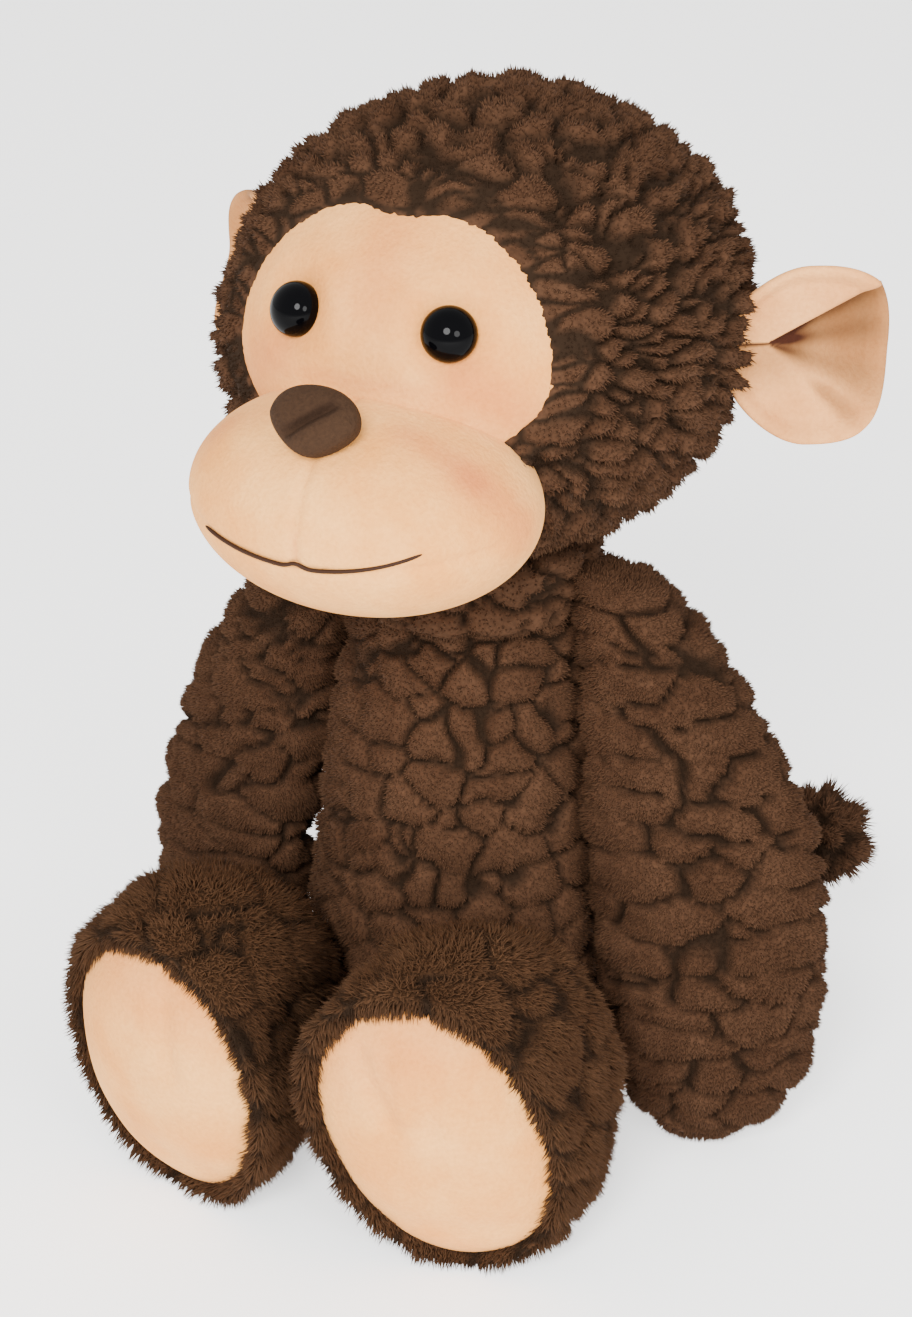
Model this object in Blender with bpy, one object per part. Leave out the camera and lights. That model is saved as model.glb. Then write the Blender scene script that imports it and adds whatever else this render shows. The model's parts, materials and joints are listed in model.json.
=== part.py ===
"""A sitting stuffed monkey, as sewn plush panels over polyester filling.

The origin is the middle of the flat seat panel's underside. +Z is up, -Y is where the
monkey faces and +X is its left. Sizes are in millimetres and turned to metres by MM.
"""

import math

import bmesh
import bpy
from mathutils import Matrix, Vector

MM = 0.001

# Driving dimensions
HEAD_CENTRE = Vector((0, 9, 214.5))
HEAD_RADII = Vector((68, 76, 60.5))
FUR = 8.0
SHORT_PILE = 2.5
FACE_INSET = 5.5
FACE_CLEARANCE = 1.0
GAP = 0.3
FILLING_GAP = 1.3
SEAM_GAP = 0.2

FACE_CENTRE_HEIGHT = 220.5
FACE_HALF_WIDTH = 46
FACE_HALF_HEIGHT = 41.5
FACE_DROP = 30
BROW_DIP = 3.5

MUZZLE_CENTRE = Vector((0, -58, 189))
MUZZLE_RADII = Vector((44.5, 35, 27))
CHIN_SEAM_ANGLE = 78
SMILE_RISE = 12

NOSE_HALF_WIDTH = 8.6
NOSE_HALF_HEIGHT = 9.5
NOSE_CROWN = 8.0
NOSE_TILT = 62

EYE_SIDE = 20.5
EYE_HEIGHT = 232
EYE_RADIUS = 6.8
EYE_DOME = 5.6
SHANK_RADIUS = 2.0
SHANK_LENGTH = 11.0
SHANK_CLEARANCE = 0.4
WASHER_RADIUS = 8.0
WASHER_THICK = 1.5
WASHER_SINK = 1.8

EAR_CENTRE = Vector((84, 41, 212))
EAR_SWEEP_BACK = 35
EAR_HALF_REACH = 19
EAR_HALF_HEIGHT = 23
EAR_CUP = 7.0
EAR_PANEL = 2.0

TORSO_STATIONS = (
    # height, half width, half depth
    (0, 37, 38),
    (12, 44, 46),
    (32, 45.5, 49),
    (56, 42.5, 50),
    (80, 38.5, 48),
    (104, 34.5, 42),
    (126, 30, 35),
    (140, 25, 28),
    (148, 19, 20),
)
SEAT_RADIUS_LOSS = 1.2
POUCH_RADII = Vector((27, 28, 9))
POUCH_HEIGHT = 13.5

NECK_CENTRE = Vector((0, 0, 149))
NECK_RADIUS = 9.8
NECK_OPENING = 23

ARM_STATIONS = (
    # side, back, height, half width, half depth
    (45, 2, 149, 13, 13),
    (56.5, 1, 122, 22, 16.5),
    (66, -1, 92, 31, 17.5),
    (72.5, -4, 54, 31, 17.5),
    (73.5, -6, 24, 25, 17),
)
ARM_CAPS = (9, 23.5)
ARM_FLAT_TURN = 27

LEG_STATIONS = (
    # side, back, height, half width, half height
    (37, -55, 33, 23, 26),
    (37, -72, 37.5, 32, 36),
    (36, -87, 40.5, 34, 40),
    (36, -96, 41, 33, 40),
)
LEG_CAP = 17
LEG_FUR = 3.0
FOOT_ROLL = {"left": 14, "right": -6}
FOOT_YAW = {"left": 12, "right": -20}
SOLE_LEAN = 10
SOLE_CROWN = 8
SOLE_GAP = 1.2

TAIL_STATIONS = (
    # side, back, height, half width, half height
    (8, 64, 27, 12, 12),
    (34, 80, 34, 13, 13),
    (69, 84, 51, 13.5, 14),
)
TAIL_CAPS = (11, 9)
TAIL_FUR = 5.0

SHOULDER = Vector((46.5, 0, 148))
HIP = Vector((37, -56, 34))
TAIL_ROOT = Vector((8, 58, 26))

# Colours, linear
BROWN_FUR = (0.068, 0.036, 0.021)
CREAM_PLUSH = (0.80, 0.57, 0.38)
EAR_PEACH = (0.74, 0.48, 0.30)
NOSE_BROWN = (0.10, 0.048, 0.026)
THREAD_BROWN = (0.045, 0.024, 0.014)
EYE_BLACK = (0.006, 0.006, 0.007)
FILLING_WHITE = (0.82, 0.82, 0.80)
POUCH_WHITE = (0.62, 0.60, 0.55)
WASHER_WHITE = (0.75, 0.75, 0.74)

for old in list(bpy.data.objects):
    bpy.data.objects.remove(old, do_unlink=True)


# Placing and finishing

def joint_empty(name, place, parent=None):
    """An empty on a joint's axis; place is in millimetres in the monkey's frame."""
    empty = bpy.data.objects.new(name, None)
    bpy.context.scene.collection.objects.link(empty)
    empty["place"] = tuple(place)
    empty.location = Vector(place) * MM
    if parent:
        empty.parent = parent
        empty.location -= Vector(parent["place"]) * MM
    return empty


def plain_material(name, colour, roughness):
    material = bpy.data.materials.new(name)
    material.use_nodes = True
    shader = material.node_tree.nodes["Principled BSDF"]
    shader.inputs["Base Color"].default_value = (*colour, 1)
    shader.inputs["Roughness"].default_value = roughness
    shader.inputs["Metallic"].default_value = 0
    return material


def add_piece(name, bm, pivot, colour, roughness):
    """Turns a bmesh in millimetres into a named object that hangs on a pivot empty."""
    place = Vector(pivot["place"])
    for vert in bm.verts:
        vert.co = (vert.co - place) * MM
    mesh = bpy.data.meshes.new(name)
    bm.to_mesh(mesh)
    bm.free()
    mesh.shade_smooth()
    mesh.set_sharp_from_angle(angle=math.radians(50))
    mesh.materials.append(plain_material(name, colour, roughness))
    piece = bpy.data.objects.new(name, mesh)
    piece.parent = pivot
    bpy.context.scene.collection.objects.link(piece)
    return piece


def add_thread(name, line, radius, pivot):
    """A round thread laid through a list of points, given in millimetres."""
    curve = bpy.data.curves.new(name, "CURVE")
    curve.dimensions = "3D"
    curve.bevel_depth = radius * MM
    curve.bevel_resolution = 1
    curve.use_fill_caps = True
    spline = curve.splines.new("POLY")
    spline.points.add(len(line) - 1)
    for point, place in zip(spline.points, line):
        point.co = (*((place - Vector(pivot["place"])) * MM), 1)
    curve.materials.append(plain_material(name, THREAD_BROWN, 0.5))
    thread = bpy.data.objects.new(name, curve)
    thread.parent = pivot
    bpy.context.scene.collection.objects.link(thread)


def add_cutter(name, bm, pivot):
    cutter = add_piece(name, bm, pivot, FILLING_WHITE, 1)
    cutter.hide_render = True
    cutter.display_type = "WIRE"
    return cutter


def cut(piece, *cutters):
    for cutter in cutters:
        boolean = piece.modifiers.new(cutter.name, "BOOLEAN")
        boolean.operation = "DIFFERENCE"
        boolean.solver = "EXACT"
        boolean.object = cutter


# Closed shapes

def close_up(bm):
    bmesh.ops.remove_doubles(bm, verts=bm.verts, dist=1e-4)
    bmesh.ops.dissolve_degenerate(bm, edges=bm.edges, dist=1e-5)
    bmesh.ops.recalc_face_normals(bm, faces=bm.faces)
    return bm


def bridge(bm, first, second, wraps):
    count = len(first)
    for j in range(count if wraps else count - 1):
        k = (j + 1) % count
        bm.faces.new((first[j], first[k], second[k], second[j]))


def panel(outer, inner, wraps=False, pole=False):
    """A sewn panel: two layers of rows of points, closed along every open edge.

    wraps joins each row into a ring; pole says that the first row is one point."""
    bm = bmesh.new()
    top = [[bm.verts.new(p) for p in row] for row in outer]
    bottom = [[bm.verts.new(p) for p in row] for row in inner]
    for layer in (top, bottom):
        for i in range(len(layer) - 1):
            bridge(bm, layer[i], layer[i + 1], wraps)
    if not pole:
        bridge(bm, top[0], bottom[0], wraps)
    bridge(bm, top[-1], bottom[-1], wraps)
    if not wraps:
        for j in (0, -1):
            bridge(bm, [row[j] for row in top], [row[j] for row in bottom], False)
    return close_up(bm)


def filled(rings):
    """A solid through closed rings, capped at both ends."""
    bm = bmesh.new()
    rows = [[bm.verts.new(p) for p in ring] for ring in rings]
    for i in range(len(rows) - 1):
        bridge(bm, rows[i], rows[i + 1], True)
    for end in (rows[0], rows[-1]):
        if (end[0].co - end[len(end) // 2].co).length > 0.01:
            bm.faces.new(end)
    return close_up(bm)


def ball_point(centre, radii, direction, inset=0.0):
    d = direction.normalized()
    return centre + Vector((radii.x - inset, radii.y - inset, radii.z - inset)) * d


def ball(centre, radii, rings=10, segments=20):
    rows = []
    for i in range(rings + 1):
        polar = math.pi * i / rings
        rows.append([
            centre + Vector((
                radii.x * math.sin(polar) * math.cos(2 * math.pi * j / segments),
                radii.y * math.sin(polar) * math.sin(2 * math.pi * j / segments),
                radii.z * math.cos(polar),
            ))
            for j in range(segments)
        ])
    return filled(rows)


def cylinder(start, end, radius, segments=20):
    axis = (end - start).normalized()
    side = axis.orthogonal().normalized()
    other = axis.cross(side)
    ring = [
        side * radius * math.cos(2 * math.pi * j / segments)
        + other * radius * math.sin(2 * math.pi * j / segments)
        for j in range(segments)
    ]
    return filled([[start + p for p in ring], [end + p for p in ring]])


def smooth_stations(stations, steps):
    """Catmull-Rom values through the stations, with steps stretches between each two."""
    points = [tuple(2 * a - b for a, b in zip(stations[0], stations[1]))]
    points += list(stations)
    points.append(tuple(2 * a - b for a, b in zip(stations[-1], stations[-2])))
    result = []
    for i in range(1, len(points) - 2):
        for k in range(steps):
            t = k / steps
            result.append(tuple(
                0.5 * (2 * b + (c - a) * t + (2 * a - 5 * b + 4 * c - d) * t * t
                       + (3 * b - 3 * c + d - a) * t ** 3)
                for a, b, c, d in zip(*points[i - 1:i + 3])
            ))
    result.append(tuple(stations[-1]))
    return result


def limb_rings(stations, caps, across, up, inset, angles, steps=1, cap_steps=3, shift=0.0):
    """Rings of an oval tube with rounded ends, as a list of rows of points.

    stations hold side, back, height, half width, half height; caps are the lengths of the
    round ends, None for an open end; across and up are functions of the share along it."""
    run = smooth_stations(stations, steps)
    line = []
    first = Vector(run[0][:3]) - Vector(run[1][:3])
    last = Vector(run[-1][:3]) - Vector(run[-2][:3])
    if caps[0] is not None:
        line += cap_stations(run[0], first.normalized(), caps[0], inset, cap_steps)[::-1]
    line += [(Vector(s[:3]), s[3] - inset, s[4] - inset) for s in run]
    if caps[1] is not None:
        line += cap_stations(run[-1], last.normalized(), caps[1], inset, cap_steps)
    rows = []
    for i, (centre, wide, high) in enumerate(line):
        share = i / (len(line) - 1)
        a, u = across(share), up(share)
        rows.append([
            centre + a * wide * math.cos(t) + u * (high * math.sin(t) + shift)
            for t in angles
        ])
    return rows


def cap_stations(station, direction, length, inset, steps):
    centre = Vector(station[:3])
    result = []
    for k in range(1, steps + 1):
        turn = math.radians(90) * k / steps
        reach = (length - inset) * math.sin(turn)
        size = math.cos(turn)
        result.append((
            centre + direction * reach,
            (station[3] - inset) * size,
            (station[4] - inset) * size,
        ))
    return result


def turn_angles(start, end, count):
    return [math.radians(start + (end - start) * j / count) for j in range(count + 1)]


FULL_TURN = turn_angles(0, 360, 16)[:-1]


# Pivots: each empty stands on its joint's axis

body = joint_empty("body_frame", (0, 0, 0))
neck = joint_empty("neck_turn_axis", NECK_CENTRE, body)
head = joint_empty("neck_nod_axis", NECK_CENTRE, neck)


# Body: front and back panel, seat panel, filling, pellet pouch and closing stitch

def torso_row(station, angles, inset, raise_by=0.0):
    height, wide, deep = station
    return [
        Vector(((wide - inset) * math.cos(t), (deep - inset) * math.sin(t), height + raise_by))
        for t in angles
    ]


def build_body():
    run = smooth_stations(TORSO_STATIONS, 1)
    for name, start, end in (("torso_front_panel", 180.3, 359.7), ("torso_back_panel", 0.3, 179.7)):
        angles = turn_angles(start, end, 14)
        outer = [torso_row(s, angles, 0) for s in run]
        inner = [torso_row(s, angles, FUR * min(1, 0.35 + s[0] / 12)) for s in run]
        add_piece(name, panel(outer, inner), body, BROWN_FUR, 0.9)

    height, wide, deep = TORSO_STATIONS[0]
    rim = FUR * 0.35 + SEAT_RADIUS_LOSS
    disc = [torso_row((z, wide, deep), FULL_TURN, rim) for z in (0, SHORT_PILE)]
    add_piece("seat_panel", filled(disc), body, BROWN_FUR, 0.9)

    pouch = ball(Vector((0, 0, POUCH_HEIGHT)), POUCH_RADII, 8, 18)
    add_piece("seat_pellet_pouch", pouch, body, POUCH_WHITE, 0.8)
    pocket = ball(Vector((0, 0, POUCH_HEIGHT)), POUCH_RADII + Vector((0.5,) * 3), 8, 18)
    pouch_pocket = add_cutter("cutter_pouch_pocket", pocket, body)
    neck_hole = ball(NECK_CENTRE, Vector((NECK_RADIUS + 0.6,) * 3), 10, 20)
    neck_pocket = add_cutter("cutter_neck_pocket", neck_hole, body)

    fill_run = [s for s in smooth_stations(TORSO_STATIONS, 1) if 10 < s[0] < 146]
    rings = [torso_row(s, FULL_TURN, FUR + FILLING_GAP) for s in fill_run]
    torso_stuffing = add_piece("torso_stuffing", filled(rings), body, FILLING_WHITE, 1)
    cut(torso_stuffing, pouch_pocket, neck_pocket)

    heights = [s for s in smooth_stations(TORSO_STATIONS, 3) if 48 < s[0] < 100]
    line = [Vector((0, deep + 1.1, height)) for height, wide, deep in heights]
    add_thread("back_closing_stitch", line, 0.6, body)


# Neck and head: neck wad, fur sides, filling

def face_outline(turn):
    """Half widths of the two-lobed face opening, seen from the front, at an angle."""
    wide = FACE_HALF_WIDTH * math.cos(turn)
    high = (FACE_HALF_HEIGHT if math.sin(turn) > 0 else FACE_DROP) * math.sin(turn)
    dip = BROW_DIP * math.exp(-(wide / 13) ** 2) if high > 0 else 0
    return Vector((wide, 0, high - dip))


def on_head(x, z, inset):
    """The point of the inset head surface, on its front, at a side and a height."""
    rx, ry, rz = (r - inset for r in HEAD_RADII)
    drop = 1 - (x / rx) ** 2 - ((z - HEAD_CENTRE.z) / rz) ** 2
    return Vector((x, HEAD_CENTRE.y - ry * math.sqrt(max(drop, 0)), z))


def build_head():
    add_piece("neck_wad", ball(NECK_CENTRE, Vector((NECK_RADIUS,) * 3), 8, 16), neck, FILLING_WHITE, 1)

    outline = [face_outline(t) for t in turn_angles(0, 360, 30)[:-1]]
    middle = Vector((0, 0, FACE_CENTRE_HEIGHT))
    prism = [
        [p * 1.012 + middle + Vector((0, back, 0)) for p in outline]
        for back in (-90, -22)
    ]
    face_hole = add_cutter("cutter_face_hole", filled(prism), head)
    muzzle_ball = ball(MUZZLE_CENTRE, MUZZLE_RADII + Vector((0.5,) * 3), 14, 28)
    muzzle_hole = add_cutter("cutter_muzzle_hole", muzzle_ball, head)
    low_end = NECK_CENTRE - Vector((0, 0, 20))
    high_end = NECK_CENTRE + Vector((0, 0, 22))
    neck_rod = cylinder(low_end, high_end, NECK_OPENING, 24)
    neck_hole = add_cutter("cutter_neck_hole", neck_rod, head)
    wad_ball = ball(NECK_CENTRE, Vector((NECK_RADIUS + 0.8,) * 3), 10, 20)
    wad_hole = add_cutter("cutter_wad_hole", wad_ball, head)

    for name, side in (("head_left_panel", 1), ("head_right_panel", -1)):
        layers = []
        for inset in (0, FUR):
            rows = []
            for polar in turn_angles(0, 90, 7):
                rows.append([
                    ball_point(HEAD_CENTRE, HEAD_RADII, Vector((
                        side * math.cos(polar),
                        math.sin(polar) * math.cos(t),
                        math.sin(polar) * math.sin(t),
                    )), inset) + Vector((side * SEAM_GAP, 0, 0))
                    for t in turn_angles(0, 360, 24)[:-1]
                ])
            layers.append(rows)
        fur_side = add_piece(name, panel(*layers, wraps=True, pole=True), head, BROWN_FUR, 0.9)
        cut(fur_side, face_hole, muzzle_hole, neck_hole)

    inside = HEAD_RADII - Vector((FUR + FILLING_GAP,) * 3)
    stuffing = add_piece("head_stuffing", ball(HEAD_CENTRE, inside, 12, 24), head, FILLING_WHITE, 1)
    return stuffing, wad_hole, outline, middle


# Face, eyes, muzzle, nose and mouth

def build_face(stuffing, wad_hole, outline, middle):
    pockets = [wad_hole]
    shank_holes = []
    for name, side in (("left", 1), ("right", -1)):
        seat = on_head(side * EYE_SIDE, EYE_HEIGHT, FACE_INSET)
        away = seat - HEAD_CENTRE
        away = Vector((away.x / HEAD_RADII.x ** 2, away.y / HEAD_RADII.y ** 2, away.z / HEAD_RADII.z ** 2))
        away.normalize()
        eye = eye_solid(seat + away * GAP, away)
        add_piece(f"eye_{name}", eye, head, EYE_BLACK, 0.05)
        washer_at = seat - away * (SHORT_PILE + WASHER_SINK + WASHER_THICK)
        add_piece(f"eye_{name}_washer", washer_solid(washer_at, away), head, WASHER_WHITE, 0.4)
        hole = cylinder(seat + away * 5, seat - away * 16, SHANK_RADIUS + SHANK_CLEARANCE, 16)
        shank_holes.append(add_cutter(f"cutter_shank_{name}", hole, head))
        pocket = cylinder(seat + away * 5, seat - away * (SHANK_LENGTH + 1.5), WASHER_RADIUS + 0.6, 16)
        pockets.append(add_cutter(f"cutter_eye_pocket_{name}", pocket, head))
    cut(stuffing, *pockets)

    layers = []
    for inset in (FACE_INSET, FACE_INSET + SHORT_PILE):
        rows = []
        for share in (0, 0.33, 0.67, 1):
            points = [p * share + middle for p in outline]
            rows.append([on_head(p.x, p.z, inset) for p in points])
        layers.append(rows)
    face = add_piece("face_panel", panel(*layers, wraps=True, pole=True), head, CREAM_PLUSH, 0.85)
    cut(face, *shank_holes)

    skull = HEAD_RADII - Vector((FACE_INSET - FACE_CLEARANCE,) * 3)
    skull_hole = add_cutter("cutter_skull", ball(HEAD_CENTRE, skull, 16, 32), head)
    for piece in build_muzzle():
        cut(piece, skull_hole)
    build_nose()


def turned_solid(profile, base, axis, segments=14):
    """A solid of revolution; profile holds radius and distance along the axis."""
    side = axis.orthogonal().normalized()
    other = axis.cross(side)
    rings = []
    for radius, along in profile:
        rings.append([
            base + axis * along + (side * math.cos(t) + other * math.sin(t)) * radius
            for t in turn_angles(0, 360, segments)[:-1]
        ])
    return rings


def eye_solid(base, axis):
    dome = [
        (EYE_RADIUS * math.cos(t), EYE_DOME * math.sin(t))
        for t in turn_angles(90, 0, 4)
    ]
    profile = dome + [(SHANK_RADIUS, 0), (SHANK_RADIUS, -SHANK_LENGTH)]
    return filled(turned_solid(profile, base, axis))


def washer_solid(base, axis):
    inner = SHANK_RADIUS + SHANK_CLEARANCE
    profile = [
        (inner, 0),
        (inner, WASHER_THICK),
        (WASHER_RADIUS, WASHER_THICK),
        (WASHER_RADIUS, 0),
    ]
    rings = turned_solid(profile, base, axis)
    bm = bmesh.new()
    rows = [[bm.verts.new(p) for p in ring] for ring in rings]
    for i in range(4):
        bridge(bm, rows[i], rows[(i + 1) % 4], True)
    return close_up(bm)


def muzzle_direction(polar, round_angle):
    return Vector((
        math.sin(polar) * math.sin(round_angle),
        -math.sin(polar) * math.cos(round_angle),
        -math.cos(polar),
    ))


def chin_seam(round_angle):
    """Polar angle of the seam over the chin, which rises towards the cheeks."""
    return math.radians(CHIN_SEAM_ANGLE + SMILE_RISE * math.sin(round_angle) ** 2)


def build_muzzle():
    pieces = []
    for name, start, end in (("muzzle_left_panel", 0, 180), ("muzzle_right_panel", -180, 0)):
        side = 1 if start == 0 else -1
        layers = []
        for inset in (0, SHORT_PILE):
            rows = []
            for k in range(7):
                rows.append([])
                for t in turn_angles(start, end, 12):
                    low = chin_seam(t) + math.radians(0.4)
                    polar = low + (math.radians(175) - low) * k / 6
                    place = ball_point(MUZZLE_CENTRE, MUZZLE_RADII, muzzle_direction(polar, t), inset)
                    rows[-1].append(place + Vector((side * SEAM_GAP, 0, 0)))
            layers.append(rows)
        pieces.append(add_piece(name, panel(*layers), head, CREAM_PLUSH, 0.85))

    layers = []
    for inset in (0, SHORT_PILE):
        rows = []
        for k in range(5):
            rows.append([
                ball_point(MUZZLE_CENTRE, MUZZLE_RADII, muzzle_direction(chin_seam(t) * k / 4, t), inset)
                for t in turn_angles(0, 360, 24)[:-1]
            ])
        layers.append(rows)
    pieces.append(add_piece("chin_panel", panel(*layers, wraps=True, pole=True), head, CREAM_PLUSH, 0.85))

    inside = MUZZLE_RADII - Vector((SHORT_PILE + FILLING_GAP,) * 3)
    pieces.append(add_piece("muzzle_stuffing", ball(MUZZLE_CENTRE, inside, 10, 20), head, FILLING_WHITE, 1))

    mouth = []
    for t in turn_angles(-41, 41, 14):
        mouth.append(ball_point(MUZZLE_CENTRE, MUZZLE_RADII, muzzle_direction(chin_seam(t), t), -1.2))
    add_thread("mouth_stitch", mouth, 0.7, head)
    return pieces


def nose_outline(turn):
    """A rounded triangle with its point down."""
    pinch = 1 - 0.30 * max(0, -math.sin(turn)) ** 1.5
    flat = 1 - 0.12 * max(0, math.sin(turn)) ** 2
    return NOSE_HALF_WIDTH * math.cos(turn) * pinch, NOSE_HALF_HEIGHT * math.sin(turn) * flat


def build_nose():
    tilt = math.radians(NOSE_TILT)
    forward = Vector((0, -math.cos(tilt), math.sin(tilt)))
    upward = Vector((0, math.sin(tilt), math.cos(tilt)))
    layers = ([], [])
    for k in range(5):
        share = math.sin(math.radians(90) * k / 4)
        for layer in layers:
            layer.append([])
        for t in turn_angles(0, 360, 20)[:-1]:
            across, up = nose_outline(t)
            aim = forward * 30 + Vector((across * share, 0, 0)) + upward * up * share
            base = ball_point(MUZZLE_CENTRE, MUZZLE_RADII, aim, -0.4)
            lift = 1.2 + NOSE_CROWN * math.sqrt(max(0, 1 - share ** 2))
            layers[0][-1].append(base + forward * lift)
            layers[1][-1].append(base)
    add_piece("nose", panel(*layers, wraps=True, pole=True), head, NOSE_BROWN, 0.95)


# Ears: a cupped front and back panel each

def build_ears():
    for name, side in (("left", 1), ("right", -1)):
        sweep = math.radians(EAR_SWEEP_BACK)
        centre = Vector((side * EAR_CENTRE.x, EAR_CENTRE.y, EAR_CENTRE.z))
        outward = Vector((side * math.cos(sweep), math.sin(sweep), 0))
        forward = Vector((side * math.sin(sweep), -math.cos(sweep), 0))
        root = centre - outward * EAR_HALF_REACH
        pivot = joint_empty(f"ear_{name}_axis", root, head)

        def ear_point(share, turn, push):
            cup = -EAR_CUP * (1 - share ** 2) + push
            return (
                centre
                + outward * EAR_HALF_REACH * share * math.cos(turn)
                + Vector((0, 0, EAR_HALF_HEIGHT * share * math.sin(turn)))
                + forward * cup
            )

        for part, start in (("front_panel", 0), ("back_panel", -EAR_PANEL - GAP)):
            layers = []
            for push in (start, start - EAR_PANEL):
                layers.append([
                    [ear_point(share, t, push) for t in turn_angles(0, 360, 16)[:-1]]
                    for share in (0, 0.4, 0.75, 1)
                ])
            ear = panel(*layers, wraps=True, pole=True)
            add_piece(f"ear_{name}_{part}", ear, pivot, EAR_PEACH, 0.85)


# Arms: a front and a back panel over filling, held at the shoulder

def build_arms():
    flat = math.radians(ARM_FLAT_TURN)
    for name, side in (("left", 1), ("right", -1)):
        pivot = joint_empty(f"shoulder_{name}_axis", (side * SHOULDER.x, SHOULDER.y, SHOULDER.z), body)
        stations = [(side * x, y, z, wide, deep) for x, y, z, wide, deep in ARM_STATIONS]
        across = Vector((side * math.cos(flat), math.sin(flat), 0))
        backward = Vector((-side * math.sin(flat), math.cos(flat), 0))

        def rings(inset, angles, shift=0.0):
            return limb_rings(
                stations, ARM_CAPS, lambda s: across, lambda s: backward, inset, angles, shift=shift
            )

        for part, start, end, shift in (
            ("front_panel", 180, 360, -SEAM_GAP),
            ("back_panel", 0, 180, SEAM_GAP),
        ):
            angles = turn_angles(start, end, 10)
            skin = panel(rings(0, angles, shift), rings(FUR, angles, shift))
            add_piece(f"arm_{name}_{part}", skin, pivot, BROWN_FUR, 0.9)
        filling = filled(rings(FUR + FILLING_GAP, FULL_TURN[::2]))
        add_piece(f"arm_{name}_stuffing", filling, pivot, FILLING_WHITE, 1)


# Legs: a top and a bottom panel over filling, with a sole sewn into the foot's end

def build_legs():
    for name, side in (("left", 1), ("right", -1)):
        pivot = joint_empty(f"hip_{name}_axis", (side * HIP.x, HIP.y, HIP.z), body)
        stations = [(side * x, y, z, wide, high) for x, y, z, wide, high in LEG_STATIONS]
        roll = Matrix.Rotation(-math.radians(FOOT_ROLL[name]), 3, "Y")
        yaw = math.radians(FOOT_YAW[name])
        lean = math.radians(SOLE_LEAN)

        def up(share):
            tip = Vector((0, -math.sin(lean * share), math.cos(lean * share)))
            return Matrix.Rotation(yaw * share, 3, "Z") @ roll @ tip

        def across(share):
            return Matrix.Rotation(yaw * share, 3, "Z") @ roll @ Vector((1, 0, 0))

        def rings(inset, angles, shift=0.0):
            return limb_rings(stations, (LEG_CAP, None), across, up, inset, angles, shift=shift)

        for part, start, end, shift in (
            ("top_panel", 0, 180, SEAM_GAP),
            ("bottom_panel", 180, 360, -SEAM_GAP),
        ):
            angles = turn_angles(start, end, 12)
            skin = panel(rings(0, angles, shift), rings(LEG_FUR, angles, shift))
            add_piece(f"leg_{name}_{part}", skin, pivot, BROWN_FUR, 0.9)
        filling = filled(rings(LEG_FUR + FILLING_GAP, FULL_TURN)[:-1])
        add_piece(f"leg_{name}_stuffing", filling, pivot, FILLING_WHITE, 1)
        build_sole(name, stations[-1], across(1), up(1), pivot)


def build_sole(name, station, across, up, pivot):
    centre = Vector(station[:3])
    wide = station[3] - LEG_FUR - SOLE_GAP
    high = station[4] - LEG_FUR - SOLE_GAP
    forward = across.cross(up).normalized()
    if forward.y > 0:
        forward.negate()
    layers = ([], [])
    for share in (0, 0.4, 0.75, 1):
        crown = SOLE_CROWN * (1 - share ** 2)
        for layer, depth in zip(layers, (0, SHORT_PILE)):
            layer.append([
                centre
                + across * wide * share * math.cos(t)
                + up * high * share * math.sin(t)
                + forward * (crown - depth)
                for t in turn_angles(0, 360, 20)[:-1]
            ])
    add_piece(f"sole_{name}", panel(*layers, wraps=True, pole=True), pivot, CREAM_PLUSH, 0.85)


# Tail: an upper and a lower panel over filling, held at the back of the body

def build_tail():
    pivot = joint_empty("tail_root_axis", TAIL_ROOT, body)
    start = Vector(TAIL_STATIONS[0][:3])
    end = Vector(TAIL_STATIONS[-1][:3])
    along = (end - start).normalized()
    first_across = Vector((1, 0, 0))
    last_across = Vector((along.y, -along.x, 0)).normalized()

    def across(share):
        return first_across.lerp(last_across, min(1, share * 1.5)).normalized()

    def up(share):
        return Vector((0, 0, 1))

    def rings(inset, angles, shift=0.0):
        return limb_rings(TAIL_STATIONS, TAIL_CAPS, across, up, inset, angles, 2, shift=shift)

    for part, first, last, shift in (
        ("top_panel", 0, 180, SEAM_GAP),
        ("bottom_panel", 180, 360, -SEAM_GAP),
    ):
        angles = turn_angles(first, last, 8)
        skin = panel(rings(0, angles, shift), rings(TAIL_FUR, angles, shift))
        add_piece(f"tail_{part}", skin, pivot, BROWN_FUR, 0.9)
    filling = filled(rings(TAIL_FUR + FILLING_GAP, FULL_TURN[::2]))
    add_piece("tail_stuffing", filling, pivot, FILLING_WHITE, 1)


build_body()
build_face(*build_head())
build_ears()
build_arms()
build_legs()
build_tail()
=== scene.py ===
import json
import math

import bmesh
import bpy
import numpy as np
from mathutils import Matrix, Vector


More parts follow.
